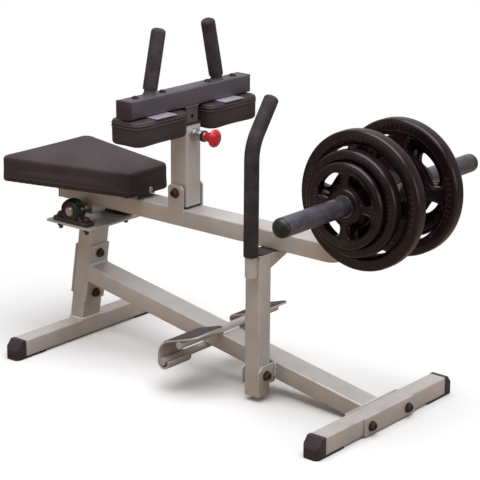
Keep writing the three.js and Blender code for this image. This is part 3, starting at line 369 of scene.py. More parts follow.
def soften(node, name, width, material, body, least=8, along=None):
    """Settles a piece in the shape of a CAD node. Its sharp edges are rounded to a width in mm where they
    are longer than least, and run along a direction where one is given."""
    work = bmesh.new()
    work.from_mesh(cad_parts[node].data)
    bmesh.ops.remove_doubles(work, verts=work.verts, dist=2e-6)
    bmesh.ops.dissolve_limit(work, angle_limit=math.radians(0.5), verts=work.verts, edges=work.edges)
    corners = [e for e in work.edges if e.is_manifold and e.calc_face_angle() > math.radians(28)]
    corners = [e for e in corners if e.calc_length() > least * MM]
    if along is not None:
        corners = [e for e in corners if abs((e.verts[1].co - e.verts[0].co).normalized().dot(along)) > 0.99]
    bmesh.ops.bevel(
        work, geom=corners, offset=width * MM, offset_type="OFFSET", segments=3, profile=0.5, affect="EDGES",
        clamp_overlap=True,
    )
    mesh = bpy.data.meshes.new(name)
    work.to_mesh(mesh)
    work.free()
    settle(outward(name, mesh), material, body, node)


def moulded_rubber(name, dark, pale, rough=0.62):
    """Moulded rubber: a fine matt skin with a paler bloom in patches."""
    rubber = Finish(name, Specular_IOR_Level=0.35)
    bloom = rubber.rise(rubber.grain(22, 4), 0.4, 0.75)
    skin_grain = rubber.grain(900, 2)
    colour = rubber.mix(bloom * 0.6, dark, pale)
    return rubber.close(colour, rough + bloom * 0.12, skin_grain, 0.0002)


boot_rubber = moulded_rubber("boot_rubber", tone(58, 50, 53), tone(82, 73, 77))
for end in ("front", "rear"):
    for hand, _ in HANDS:
        soften(f"boot_{end}_{hand}", f"boot_{end}_{hand}_moulding", 2.0, boot_rubber, "frame")

# Main beam: a 76 by 50 mm rectangular tube that climbs from the front stabilizer to the rear post.
# Plates 6 mm thick are welded across its ends, and clamp plates and bolts grip the stabilizer and the post.
MAIN_TUBE = (38, 25)  # half of 76 by 50 mm, as for the rear post and the lever arm
BEAM_RISE = math.radians(10.15)
BEAM_FRONT_Y, BEAM_FRONT_TOP = 50.8, 53
BEAM_VERTICAL = 50 / math.cos(BEAM_RISE)
POST_LEAN = math.radians(8.9)
POST_FOOT_Y = 1074
STABILIZER_TOP = SOLE + 2 * HALF_TUBE
FLANGE_BACK_Y = 56.3
CLAMP_THICK = 6
CLAMP_GAP = 0.3
CLAMP_MID = CLAMP_GAP + CLAMP_THICK / 2
BEYOND_CLAMP = CLAMP_GAP + CLAMP_THICK
CLAMP_GRIP = 2 * (HALF_TUBE + BEYOND_CLAMP)
FRONT_BOLT_X, FRONT_BOLT_Z = 82, 28
REAR_BOLTS = (("lower", 83.0), ("upper", 211.5))
REAR_FLANGE = (61.01, 238.02)
REAR_CLAMP = (72.01, 228.02)
POST_BACK = (0, math.cos(POST_LEAN), math.sin(POST_LEAN))
POST_UP = (0, -math.sin(POST_LEAN), math.cos(POST_LEAN))


def beam_top(y):
    """The height of the beam's top: the front height plus the run times the slope."""
    return BEAM_FRONT_TOP + (y - FLANGE_BACK_Y) * math.tan(BEAM_RISE)


def on_post(behind, height):
    """A place measured square to the leaning post's front face and up along it from the stabilizer's top."""
    return (
        POST_FOOT_Y + behind * math.cos(POST_LEAN) - height * math.sin(POST_LEAN),
        STABILIZER_TOP + behind * math.sin(POST_LEAN) + height * math.cos(POST_LEAN),
    )


def slab(name, outline, centre, across, up, thick, edge=1.0):
    """A plate: a flat outline in mm, filled on both faces, with a quarter round of radius edge round it.
    Each ring is the outline drawn in by edge (1 - sin a) at a depth of edge (1 - cos a) from its face."""
    outline = np.asarray(outline, float)
    before, after = np.roll(outline, 1, axis=0), np.roll(outline, -1, axis=0)
    first, second = outline - before, after - outline
    first /= np.linalg.norm(first, axis=1, keepdims=True)
    second /= np.linalg.norm(second, axis=1, keepdims=True)
    inward = np.column_stack([-(first[:, 1] + second[:, 1]), first[:, 0] + second[:, 0]])
    area = np.sum(outline[:, 0] * after[:, 1] - after[:, 0] * outline[:, 1])
    inward *= np.sign(area) * 2 / np.maximum(np.sum(inward**2, axis=1, keepdims=True), 0.8)
    angles = np.radians([0, 30, 60, 90])
    drawn_in = edge * (1 - np.sin(angles))
    depths = edge * (1 - np.cos(angles))
    insets = np.concatenate([drawn_in, drawn_in[::-1]])[:, None, None]
    levels = np.concatenate([depths, thick - depths[::-1]])[:, None]
    centres = centre + MM * (levels - thick / 2) * np.cross(across, up)
    # Edge values round the plate's rim: wear, and on the powder coat also a painted edge highlight.
    worn = np.array([0, 0.6, 1, 0.4, 0.4, 1, 0.6, 0])[:, None]
    return skin(name, carry(outline + insets * inward, centres, across, up), edge=worn)


def clipped(corners, radius, steps=4):
    """A polygon with each corner replaced by an arc that touches both its sides."""
    corners = np.asarray(corners, float)
    arrive, leave = corners - np.roll(corners, 1, axis=0), np.roll(corners, -1, axis=0) - corners
    lengths = np.linalg.norm([arrive, leave], axis=2)
    arrive, leave = arrive / lengths[0][:, None], leave / lengths[1][:, None]
    turn = np.arccos(np.clip(np.sum(arrive * leave, axis=1), -1, 1))
    reach = np.minimum(radius * np.tan(turn / 2), 0.45 * lengths.min(axis=0))[:, None]
    share = np.linspace(0, 1, steps)[:, None, None]
    start, finish = corners - reach * arrive, corners + reach * leave
    arcs = (1 - share) ** 2 * start + 2 * share * (1 - share) * corners + share**2 * finish
    return arcs.swapaxes(0, 1).reshape(-1, 2)


def plank(half_s, half_t, radius=3):
    """A rectangle about its middle with clipped corners."""
    return clipped([(-half_s, -half_t), (half_s, -half_t), (half_s, half_t), (-half_s, half_t)], radius)


def circle(count):
    """Points round a circle of radius 1, as (s, t) pairs."""
    angle = np.arange(count) * 2 * math.pi / count
    return np.column_stack([np.cos(angle), np.sin(angle)])


def turned(name, profile, centre, axis, side, count=48):
    """A turned piece: a profile of (radius, distance along the axis, sixness) in mm, carried round the axis.
    Where sixness is 1 the ring is a hexagon: radius cos 30 / cos(a - the middle of its side)."""
    profile = np.asarray([(*point, 0)[:3] for point in profile], float)
    angle = np.arange(count) * 2 * math.pi / count
    flat = math.cos(math.pi / 6) / np.cos(angle % (math.pi / 3) - math.pi / 6)
    radius = profile[:, :1] * (1 + profile[:, 2:] * (flat - 1))
    sections = radius[..., None] * circle(count)
    centres = centre + MM * profile[:, 1:2] * np.asarray(axis, float)
    return skin(name, carry(sections, centres, side, np.cross(axis, side)))


def bolt(node, body, centre, axis, side, grip):
    """A bolt through the grip: washer, hexagon with a turned top and a dimple, shank, washer and nut."""
    profile = [
        (0.4, -8.4), (4.4, -8.4), (5.0, -7.8), (5.6, -7.8), (6.2, -11.2), (8.2, -11.6), (10.6, -10.6, 0.4),
        (12.2, -8.6, 1), (12.4, -7.4, 1), (12.4, -3.2, 1), (12, -2.6, 1), (12.8, -2.5), (14.2, -2.1),
        (14.2, -0.6), (13.8, -0.2), (6, -0.2),
        (6, grip + 0.3), (12, grip + 0.3), (12, grip + 1.8), (9.6, grip + 1.9, 1), (10.6, grip + 2.3, 1),
        (10.6, grip + 7.2, 1), (9.4, grip + 8.2, 0.6), (6, grip + 8.3), (6, grip + 8.9), (5.2, grip + 9.3),
        (0.4, grip + 9.3),
    ]
    settle(turned(f"{node}_set", profile, centre, axis, side, 36), bolt_steel, body, node)


def fired_oxide(name, dark, pale):
    """Black oxide on steel: an uneven dark film, paler where tools and hands have rubbed it."""
    oxide = Finish(name, Metallic=0.35, Specular_IOR_Level=0.5)
    film = oxide.grain(160, 4)
    rubbed = oxide.rise(oxide.grain(420, 3), 0.5, 0.72)
    colour = oxide.mix(rubbed * 0.5, dark, pale)
    return oxide.close(colour, 0.34 + film * 0.22, film * 0.6 + rubbed * 0.4, 0.00012)


bolt_steel = fired_oxide("bolt_steel", tone(72, 54, 49), tone(128, 104, 95))

post_share = math.cos(POST_LEAN) + math.sin(POST_LEAN) * math.tan(BEAM_RISE)
rise_at_post = BEAM_FRONT_TOP - STABILIZER_TOP + (POST_FOOT_Y - FLANGE_BACK_Y) * math.tan(BEAM_RISE)
top_meets = rise_at_post / post_share
foot_meets = top_meets - BEAM_VERTICAL / post_share
beam_ends = [
    (at(0, BEAM_FRONT_Y, beam_top(BEAM_FRONT_Y) - BEAM_VERTICAL / 2), X_WAY, (0, 0, BEAM_VERTICAL / 50)),
    (
        at(0, *on_post(-BEYOND_CLAMP, (top_meets + foot_meets) / 2 - 1.1)), X_WAY,
        (top_meets - foot_meets) / 50 * np.array(POST_UP),
    ),
]
settle(square_tube("beam_tube", beam_ends, *MAIN_TUBE), silver_paint, "frame", "main_beam")

flange_half, flange_mid = (REAR_FLANGE[1] - REAR_FLANGE[0]) / 2, sum(REAR_FLANGE) / 2
clamp_half, clamp_mid = (REAR_CLAMP[1] - REAR_CLAMP[0]) / 2, sum(REAR_CLAMP) / 2
END_PLATES = {
    "front_flange": (plank(115, 23.5), at(0, 50 + CLAMP_MID, 31.5), Z_WAY, ()),
    "rear_flange": (plank(38, flange_half), at(0, *on_post(-CLAMP_MID, flange_mid)), POST_UP, ()),
    "front_clamp": (plank(110, 25), at(0, -CLAMP_MID, 30), Z_WAY, ("front_clamp_plate",)),
    "rear_clamp": (
        plank(38, clamp_half), at(0, *on_post(50 + CLAMP_MID, clamp_mid)), POST_UP, ("rear_clamp_plate",),
    ),
}
for name, (outline, centre, up, nodes) in END_PLATES.items():
    settle(slab(name, outline, centre, X_WAY, up, CLAMP_THICK), silver_paint, "frame", *nodes)

for hand, side in HANDS:
    centre = at(side * FRONT_BOLT_X, -BEYOND_CLAMP, FRONT_BOLT_Z)
    bolt(f"front_bolt_{hand}", "frame", centre, Y_WAY, X_WAY, CLAMP_GRIP)
for level_name, height in REAR_BOLTS:
    centre = at(0, *on_post(-BEYOND_CLAMP, height))
    bolt(f"rear_bolt_{level_name}", "frame", centre, POST_BACK, X_WAY, CLAMP_GRIP)

# Catch bracket: two 5 mm ears cut from plate and welded to the side of the beam, with the catch's pivot bolt
# through them. Their welds and those of the beam's end plates are laid by hand and painted over.
CATCH_X, CATCH_Y, CATCH_PIVOT_Z = -76, 378, 74
EAR_OUTLINE = [(-37.5, 48), (-37.5, 103), (-92, 103), (-106, 89), (-106, 48)]
EAR_APART = 28.5
WAYS = (("front", -1), ("rear", 1))


def bead(name, places, radius, paint, body, slot="silver_paint"):
    """A weld bead along places in mm: a round section that swells by a sine of the length, to give the
    ripples of the pool, and tapers at both ends. The path is resampled six times to a ripple."""
    pitch = 5.5 * MM
    path = at(*np.asarray(places, float).T)
    run = np.concatenate([[0], np.cumsum(np.linalg.norm(np.diff(path, axis=0), axis=1))])
    length = np.linspace(0, run[-1], max(int(run[-1] / (pitch / 6)), 8))
    centres = np.column_stack([np.interp(length, run, path[:, axis]) for axis in range(3)])
    heading = np.gradient(centres, axis=0)
    heading /= np.linalg.norm(heading, axis=1, keepdims=True)
    helper = np.where(np.abs(heading[:, 2:]) > 0.9, np.array([X_WAY]), np.array([Z_WAY]))
    across = np.cross(heading, helper)
    across /= np.linalg.norm(across, axis=1, keepdims=True)
    ripple = 1 + 0.26 * np.abs(np.sin(math.pi * length / pitch)) + 0.09 * np.sin(length * 610)
    taper = np.sqrt(np.clip(np.minimum(length, run[-1] - length) / (radius * MM) + 0.05, 0, 1))
    rings = carry(circle(10), centres, across, np.cross(across, heading), radius * ripple * taper)
    settle(skin(name, rings, edge=0.35, smooth=60), paint, body, slot=slot)


# The welds take a paler, glossier copy of the silver paint: a painted highlight for the light that their
# ripples catch.
highlit_weld_paint = powder_coat(
    "highlit_weld_paint", tone(214, 213, 216), tone(236, 236, 240), tone(250, 250, 250), 0.3, 0.26
)
for way, sign in WAYS:
    foot = at(0, CATCH_Y + sign * EAR_APART, 0)
    settle(slab(f"catch_ear_{way}", clipped(EAR_OUTLINE, 3), foot, X_WAY, Z_WAY, 5), silver_paint, "frame")
bolt("catch_bolt", "frame", at(CATCH_X, CATCH_Y - 31, CATCH_PIVOT_Z), Y_WAY, X_WAY, 62)

rear_y, rear_z = on_post(-7.3, top_meets + 1)
beads = {
    "front_weld": ([(x, FLANGE_BACK_Y + 1, beam_top(57) - 0.5) for x in (-34, 34)], 2.6),
    "rear_weld": ([(x, rear_y, rear_z) for x in (-37, 37)], 4.4),
    "rear_under_weld": ([(x, *on_post(-7.3, foot_meets - 1)) for x in (-34, 34)], 3.0),
    "ear_weld_front": ([(-38.4, CATCH_Y - 31.6, z) for z in (62, 104)], 2.8),
    "ear_weld_rear": ([(-38.4, CATCH_Y + 31.6, z) for z in (68, 104)], 2.8),
}
for name, (places, radius) in beads.items():
    bead(name, places, radius, highlit_weld_paint, "frame")

# Rear post: a 76 by 50 mm tube that leans forward from the rear stabilizer up to the bearing plate.
# It is welded to the stabilizer all round its foot, and the bearing plate is welded on its top.
foot_ring = round_box(38.4, 25 / math.cos(POST_LEAN) + 0.4, 5)
foot_loop = np.vstack([foot_ring, foot_ring[:1]])
post_ends = []
loops = []
for z, weld_z in ((55.3, 56.6), (361.7, 360.6)):
    middle_y = on_post(25, (z - STABILIZER_TOP) / math.cos(POST_LEAN) - 25 * math.tan(POST_LEAN))[0]
    post_ends.append((at(0, middle_y, z), X_WAY, (0, 1 / math.cos(POST_LEAN), 0)))
    loops.append(np.column_stack([foot_loop + (0, middle_y), np.full(len(foot_loop), weld_z)]))
settle(square_tube("rear_post_tube", post_ends, *MAIN_TUBE), silver_paint, "frame", "rear_post")
bead("post_foot_weld", loops[0], 3.4, highlit_weld_paint, "frame")
bead("post_top_weld", loops[1], 1.8, silver_paint, "frame")

# Pivot: a 6 mm plate on the post, two cast pillow blocks with ball bearings, and a 25 mm turned shaft.
# Hexagon bolts hold each block down through the plate, and a green cap closes its grease hole.
PIVOT_Y = 1057
PLATE_TOP = 368
SHAFT_Z = 404.8
BLOCK_X = 82
BLOCK_BOLT_Y = 52
BLOCK_GAP = 0.3
plate_centre = at(0, PIVOT_Y, PLATE_TOP - 3)
bearing_plate = slab("bearing_plate_sheet", plank(106, 88, 4), plate_centre, X_WAY, Y_WAY, 6)
settle(bearing_plate, silver_paint, "frame", "bearing_plate")


def casting(name, dark, pale):
    """Painted sand casting: a pebbled skin, greasy patches that shine, and edges worn to grey iron."""
    iron = Finish(name, Metallic=0.2, Specular_IOR_Level=0.5)
    pebble = iron.grain(260, 4)
    grease = iron.rise(iron.grain(30, 3), 0.45, 0.7)
    worn = iron.edge * iron.rise(iron.grain(150, 3), 0.35, 0.6)
    colour = iron.mix(grease, dark, pale)
    colour = iron.mix(worn * 0.6, colour, tone(104, 98, 96))
    return iron.close(colour, 0.56 - grease * 0.2, pebble, 0.0005)


def machined_steel(name, dark, pale, axis_scale, rough=0.24):
    """Turned or drawn steel: fine tool lines across its axis, with faint stains."""
    steel = Finish(name, Metallic=1.0)
    lines = steel.grain(1.0, 3, steel.stretched(*axis_scale))
    stain = steel.rise(steel.grain(45, 4), 0.45, 0.75)
    colour = steel.mix(lines, dark, pale)
    colour = steel.mix(stain * 0.4, colour, dark)
    return steel.close(colour, rough + lines * 0.14 + stain * 0.1, lines, 0.00004)


def mirrored(half):
    """A profile given up to its middle, with the other half added from there back."""
    return half + [(radius, -x) for radius, x in half[::-1]]


def leaning(degrees, x, reach):
    """A place on the pivot's housing and the way out from it, at an angle forward from upright."""
    way = (0, -math.sin(math.radians(degrees)), math.cos(math.radians(degrees)))
    return at(x, PIVOT_Y + reach * way[1], SHAFT_Z + reach * way[2]), way


cast_housing = casting("cast_housing", tone(40, 37, 40), tone(54, 58, 58))
bright_steel = machined_steel("bright_steel", tone(178, 176, 176), tone(224, 222, 220), (1600, 60, 60))
bronze_ring = machined_steel("bronze_ring", tone(112, 92, 80), tone(164, 142, 126), (300, 300, 300), 0.34)
bearing_shield = machined_steel("bearing_shield", tone(66, 54, 50), tone(96, 82, 76), (300, 300, 300), 0.4)
grease_cap_finish = moulded_rubber("grease_cap_green", tone(14, 92, 66), tone(30, 120, 88), 0.42)
NECK = [(-46, 10), (46, 10), (38, 17), (33, 27), (30, 37), (-30, 37), (-33, 27), (-38, 17)]
HEAD = [(26.4, -16), (28, -18.4), (30.4, -18.8), (32, -17.6), (33, -15), (34, -12), (35, -9)]
INNER_RACE = [(12.9, -17.6), (15.2, -17.6), (15.9, -16.8)]
SHIELD = [(16.4, -13.4), (17.2, -14.6), (24.2, -15.6), (25.8, -14.6)]
HOLD_BOLT = [
    (0.4, -26), (4.6, -26), (6, -24.4), (6, -18.4), (9.6, -18, 1), (11, -16.6, 1), (11, -8.6, 1),
    (12.6, -8.4), (12.6, -6.6), (5, -6.4), (5, 12.4), (12.6, 12.5), (12.6, 14.4), (10.6, 14.5, 1),
    (10.6, 20.4, 1), (9.4, 21.6, 1), (6, 21.8), (6, 24.4), (5, 25.4), (0.4, 25.4),
]
GREASE_CAP = [(0.4, -2), (10, -2), (10.4, 1.5), (9.6, 3.6), (6.5, 5), (0.4, 5.4)]
NIPPLE = [(0.4, -2), (4, -2), (4, 1.5), (2.4, 2), (2.2, 4), (3.1, 5), (3, 6.6), (1.4, 7.6), (0.4, 7.7)]
for hand, side in HANDS:
    x = side * BLOCK_X
    base_centre = at(x, PIVOT_Y, PLATE_TOP + BLOCK_GAP + 6)
    base = slab(f"block_base_{hand}", plank(70, 19, 12), base_centre, Y_WAY, (-1, 0, 0), 12, 2.5)
    settle(base, cast_housing, "frame")
    neck = slab(f"block_neck_{hand}", clipped(NECK, 5), at(x, PIVOT_Y, PLATE_TOP), Y_WAY, Z_WAY, 27, 3)
    settle(neck, cast_housing, "frame")
    on_shaft = (at(x, PIVOT_Y, SHAFT_Z), X_WAY, Y_WAY, 72)
    head = turned(f"block_head_{hand}", mirrored(HEAD), *on_shaft)
    settle(head, cast_housing, "frame", f"pillow_block_{hand}")
    inner_race = turned(f"inner_race_{hand}", mirrored(INNER_RACE), *on_shaft)
    settle(inner_race, bronze_ring, "frame", slot="bright_steel")
    shield = turned(f"bearing_{hand}", mirrored(SHIELD), *on_shaft)
    settle(shield, bearing_shield, "frame", f"bearing_insert_{hand}", slot="bright_steel")
    for way, sign in WAYS:
        foot = at(x, PIVOT_Y + sign * BLOCK_BOLT_Y, PLATE_TOP + BLOCK_GAP)
        settle(turned(f"block_bolt_{hand}_{way}", HOLD_BOLT, foot, Z_WAY, X_WAY, 36), bolt_steel, "frame")
    cap = turned(f"grease_cap_{hand}", GREASE_CAP, *leaning(38, x, 33), X_WAY, 36)
    settle(cap, grease_cap_finish, "frame", slot="cast_housing")
    nipple = turned(f"grease_nipple_{hand}", NIPPLE, *leaning(72, x, 34), X_WAY, 24)
    settle(nipple, bright_steel, "frame")
shaft_profile = mirrored([(0.4, -101), (2.6, -101.4), (3.2, -103), (11.6, -103), (12.5, -102)])
shaft = turned("pivot_shaft_bar", shaft_profile, at(0, PIVOT_Y, SHAFT_Z), X_WAY, Y_WAY, 48)
settle(shaft, bright_steel, "lever", "pivot_shaft")

# Foot rest: two steel plates bent from 5 mm sheet round two 21 mm rods that are welded across the beam.
# Their sides hook under the lower rod, and the tread on top carries a dark grip mat.
ROD_RADIUS = 10.5
ROD_HALF = 210
ROD_GAP = 0.3
UPPER_ROD_Y = 541
LOWER_ROD_Y = 602
rod_offset = (ROD_RADIUS + ROD_GAP) / math.cos(BEAM_RISE)
UPPER_ROD_Z = beam_top(UPPER_ROD_Y) + rod_offset
LOWER_ROD_Z = beam_top(LOWER_ROD_Y) - BEAM_VERTICAL - rod_offset
rod_profile = mirrored([(0.4, -ROD_HALF), (ROD_RADIUS - 0.9, -ROD_HALF), (ROD_RADIUS, 0.9 - ROD_HALF)])
for level_name, y, z in (("upper", UPPER_ROD_Y, UPPER_ROD_Z), ("lower", LOWER_ROD_Y, LOWER_ROD_Z)):
    rod = turned(f"{level_name}_foot_rod_bar", rod_profile, at(0, y, z), X_WAY, Y_WAY, 40)
    settle(rod, silver_paint, "frame", f"{level_name}_foot_rod")
for way, sign in WAYS:
    y = UPPER_ROD_Y + sign * 8.5
    bead(f"rod_weld_{way}", [(x, y, beam_top(y) + 1.6) for x in (-36, 36)], 4.0, highlit_weld_paint, "frame")

SHEET = 5
FOOT_BEND = math.radians(73)
FOOT_BEND_RADIUS = 46
HOOK_RADIUS = 15
HOOK_START = math.radians(-200)
FOOT_FRONT_Y = 490
FOOT_CORNER = 25
HOOK_STEPS, BEND_STEPS, TREAD_STEPS = 26, 18, 30
MAT_START = HOOK_STEPS + 12
MAT_LIFT = 0.9
MAT_INSET = 3.4
wall_y = LOWER_ROD_Y + ROD_RADIUS + ROD_GAP
bend_y = wall_y - FOOT_BEND_RADIUS
foot_normal = np.array([math.cos(FOOT_BEND), math.sin(FOOT_BEND)])
tread_level = foot_normal @ (UPPER_ROD_Y, UPPER_ROD_Z) + ROD_RADIUS + ROD_GAP
bend_z = (tread_level - FOOT_BEND_RADIUS - foot_normal[0] * bend_y) / foot_normal[1]


def foot_line(offset):
    """The side line of the sheet at an offset from its inner face, as (y, z), and its outward normal:
    a hook round the lower rod, a bend of 46 mm, and the straight tread towards the front."""
    hook = np.linspace(HOOK_START, 0, HOOK_STEPS)
    bend = np.linspace(0, FOOT_BEND, BEND_STEPS)
    hook_way = np.column_stack([np.cos(hook), np.sin(hook)])
    bend_way = np.column_stack([np.cos(bend), np.sin(bend)])
    hook_yz = np.array([wall_y - HOOK_RADIUS, LOWER_ROD_Z - 0.5]) + (HOOK_RADIUS + offset) * hook_way
    bend_yz = np.array([bend_y, bend_z]) + (FOOT_BEND_RADIUS + offset) * bend_way
    end_z = bend_z + (FOOT_BEND_RADIUS + offset - foot_normal[0] * (FOOT_FRONT_Y - bend_y)) / foot_normal[1]
    share = np.linspace(0, 1, TREAD_STEPS)[1:, None]
    tread_yz = bend_yz[-1] + share * (np.array([FOOT_FRONT_Y, end_z]) - bend_yz[-1])
    normals = np.vstack([hook_way, bend_way, np.tile(foot_normal, (len(tread_yz), 1))])
    return np.vstack([hook_yz, bend_yz, tread_yz]), np.insert(normals, 0, 0, axis=1)


def foot_limits(line):
    """The sheet's inner and outer edge at each step: the hook starts at 115 mm, a slope widens it to 72 mm
    between heights of 100 and 145 mm, and the front corners are quarter circles."""
    y, z = line.T
    inner = np.interp(z, [100, 145], [115, 72])
    ahead = np.clip((FOOT_FRONT_Y + FOOT_CORNER - y) / FOOT_CORNER, 0, 0.995)
    drawn = FOOT_CORNER * (1 - np.sqrt(1 - ahead**2))
    return inner + drawn, ROD_HALF - drawn


def widened(section, reach):
    """One section to a ring, with its two sides moved apart by that ring's reach."""
    return section + np.sign(section) * (reach[:, None, None] * (1, 0))


def grip_mat(name):
    """A thin moulded mat: rows of small raised lozenges that are paler, and paler patches of dust."""
    mat = Finish(name, Specular_IOR_Level=0.3)
    sockets = {"Vector": mat.place, "Rotation": (0, 0, math.pi / 4), "Scale": (150, 150, 0)}
    sockets = {"Vector": mat.node("ShaderNodeMapping", {}, sockets), "Scale": 1.0, "Randomness": 0.0}
    cells = mat.node("ShaderNodeTexVoronoi", {"distance": "CHEBYCHEV"}, sockets, "Distance")
    studs = mat.rise(cells, 0.42, 0.3)
    dust = mat.grain(60, 4)
    colour = mat.mix(studs * 0.4 + mat.rise(dust, 0.4, 0.7) * 0.4, tone(62, 56, 60), tone(98, 91, 94))
    return mat.close(colour, 0.62 + dust * 0.15, studs, 0.0006)


tread_mat = grip_mat("tread_mat")
line, normals = foot_line(SHEET / 2)
mat_line, mat_normals = foot_line(SHEET + MAT_LIFT)
inner_x, outer_x = foot_limits(line)
half = (outer_x - inner_x) / 2
sheet_sections = widened(round_box(SHEET / 2, SHEET / 2, 1.2, 4), half - SHEET / 2)
mat_sections = widened(round_box(0.8, 0.8, 0.5, 3), np.maximum(half - MAT_INSET, 1))
on_mat = slice(MAT_START, len(line) - 1)
for hand, side in HANDS:
    middle_x = side * (inner_x + outer_x) / 2
    rings = carry(sheet_sections, at(middle_x, line[:, 0], line[:, 1]), X_WAY, normals)
    plate = skin(f"foot_plate_{hand}_sheet", rings, edge=0.15, smooth=50)
    settle(plate, silver_paint, "frame", f"foot_plate_{hand}")
    rings = carry(mat_sections, at(middle_x, mat_line[:, 0], mat_line[:, 1]), X_WAY, mat_normals)[on_mat]
    settle(skin(f"tread_mat_{hand}", rings, smooth=50), tread_mat, "frame", slot="black_plastic")

# Lever arm: one 76 by 50 mm tube that lies on the pivot and bends up to the weight axle at its front.
# The saddle under it and the two ears beside the thigh post are welded on, and its ends are plugged.
ARM_BOTTOM = 417.6
ARM_MID = ARM_BOTTOM + 25
ARM_REAR_Y = 1157
POST_Y = 700
BEND_Y = 190
BEND_RADIUS = 100
BEND_ANGLE = math.radians(64.6)
AXLE_REACH = 135
TIP_REACH = 45
EAR_OUTER_X = 43
EAR_THICK = 5
arm_ends = [(at(0, ARM_REAR_Y, ARM_MID), X_WAY, Z_WAY)]
for angle in np.linspace(0, BEND_ANGLE, 26):
    bend_end = (BEND_Y - BEND_RADIUS * math.sin(angle), ARM_MID + BEND_RADIUS * (1 - math.cos(angle)))
    arm_ends.append((at(0, *bend_end), X_WAY, (0, math.sin(angle), math.cos(angle))))
AXLE_Y = bend_end[0] - AXLE_REACH * math.cos(BEND_ANGLE)
AXLE_Z = bend_end[1] + AXLE_REACH * math.sin(BEND_ANGLE)
tip_y, tip_z = AXLE_Y - TIP_REACH * math.cos(BEND_ANGLE), AXLE_Z + TIP_REACH * math.sin(BEND_ANGLE)
arm_ends.append((at(0, tip_y, tip_z), X_WAY, (0, math.sin(BEND_ANGLE), math.cos(BEND_ANGLE))))
settle(square_tube("lever_arm_tube", arm_ends, *MAIN_TUBE), silver_paint, "lever", "lever_arm")

saddle_outline = clipped([(-22, -20), (22, -20), (22, 12.9), (-22, 12.9)], 6)
saddle = slab("arm_saddle", saddle_outline, at(0, PIVOT_Y, SHAFT_Z), Y_WAY, Z_WAY, 56, 1.5)
settle(saddle, silver_paint, "lever")
EAR = [(672.5, 420.6), (727.5, 420.6), (727.5, 526.6), (719.5, 534.6), (680.5, 534.6), (672.5, 526.6)]
for hand, side in HANDS:
    foot = at(side * (EAR_OUTER_X - EAR_THICK / 2), 0, 0)
    settle(slab(f"post_ear_{hand}", clipped(EAR, 3), foot, Y_WAY, Z_WAY, EAR_THICK), silver_paint, "lever")
    for way, sign in WAYS:
        path = [(side * 38.6, POST_Y + sign * 28, z) for z in (424, 464)]
        bead(f"ear_weld_{hand}_{way}", path, 2.0, silver_paint, "lever")
for way, sign in WAYS:
    path = [(x, PIVOT_Y + sign * 23, ARM_BOTTOM - 0.6) for x in (-26, 26)]
    bead(f"saddle_weld_{way}", path, 2.4, silver_paint, "lever")


def moulded_plastic(name, dark, pale, rough=0.42):
    """Moulded plastic: a faint sparked texture, with a slow drift of tone and gloss."""
    plastic = Finish(name, Specular_IOR_Level=0.45)
    spark = plastic.grain(700, 2)
    drift = plastic.grain(35, 3)
    colour = plastic.mix(plastic.rise(drift, 0.4, 0.75) * 0.7, dark, pale)
    return plastic.close(colour, rough + drift * 0.14, spark, 0.00012)


black_plastic = moulded_plastic("black_plastic", tone(36, 29, 32), tone(50, 42, 46))
for plug in ("arm_rear_plug", "arm_front_plug"):
    soften(plug, f"{plug}_moulding", 1.5, black_plastic, "lever")

# Weight axle: a turned bar through the arm with a 50 mm sleeve and a welded stop collar on each side.
# The sleeves are dark satin steel, and domed plastic caps close their ends.
SLEEVE_END = 405


def satin_steel(name, dark, pale):
    """Dark plated tube: mottled plating, with fine rings where the plates slide."""
    steel = Finish(name, Metallic=0.75, Specular_IOR_Level=0.5)
    mottle = steel.grain(55, 4)
    rings = steel.grain(1.0, 2, steel.stretched(900, 30, 30))
    rubbed = steel.rise(steel.grain(1.0, 4, steel.stretched(22, 90, 90)), 0.55, 0.75)
    colour = steel.mix(steel.rise(mottle, 0.3, 0.7), dark, pale)
    colour = steel.mix(rubbed * 0.2, colour, tone(128, 124, 136))
    return steel.close(colour, 0.27 + mottle * 0.08 + rubbed * 0.04, rings * 0.6 + mottle * 0.4, 0.00006)


sleeve_steel = satin_steel("sleeve_steel", tone(96, 94, 105), tone(112, 110, 122))
axle_profile = mirrored([
    (0.4, -SLEEVE_END), (24.2, -SLEEVE_END), (25, 0.8 - SLEEVE_END), (25, -63.8), (36.6, -63.7),
    (37.5, -62.8), (37.5, -58.9), (36.6, -58), (25, -57.9), (25, -38.9), (24.6, -38.3),
])
axle = turned("weight_axle_bar", axle_profile, at(0, AXLE_Y, AXLE_Z), X_WAY, Y_WAY, 64)
settle(axle, sleeve_steel, "lever", "weight_axle")
cap_profile = [(0.4, 0.3), (24.4, 0.3), (25, 1.0), (25, 3.2), (24.4, 3.6), (24.4, 4.2)]
cap_profile += [(24.8 * math.cos(a), 4.4 + 16.9 * math.sin(a)) for a in np.linspace(0, math.pi / 2 - 0.02, 9)]
end_plastic = moulded_plastic("end_cap_plastic", tone(28, 32, 31), tone(40, 46, 46), 0.3)
for hand, side in HANDS:
    foot = at(side * SLEEVE_END, AXLE_Y, AXLE_Z)
    cap = turned(f"sleeve_cap_{hand}_dome", cap_profile, foot, (side, 0, 0), Y_WAY, 56)
    settle(cap, end_plastic, "lever", f"sleeve_cap_{hand}", slot="black_plastic")

# Weight plates: cast iron discs in a black rubber coat, with a thick rim, a dished web and four windows to
# grip them by, each with a raised lip. A thin steel bush lines each bore.
PLATES = {
    "large": {"radius": 180, "thick": 40, "web": 18, "rim": 32, "window": (90, 142)},
    "medium": {"radius": 136, "thick": 38, "web": 16, "rim": 26, "window": (64, 104)},
    "small": {"radius": 110, "thick": 22, "web": 12, "rim": 16, "window": (48, 87)},
}
FIRST_PLATE_X = 64.0
PLATE_GAP = 0.3
HUB = 41
QUARTER_STEPS = 26
SIDE_STEPS = 9
BORE = 28.4
WINDOW_POWER = 3.8
WINDOW_SPREAD = math.radians(35)


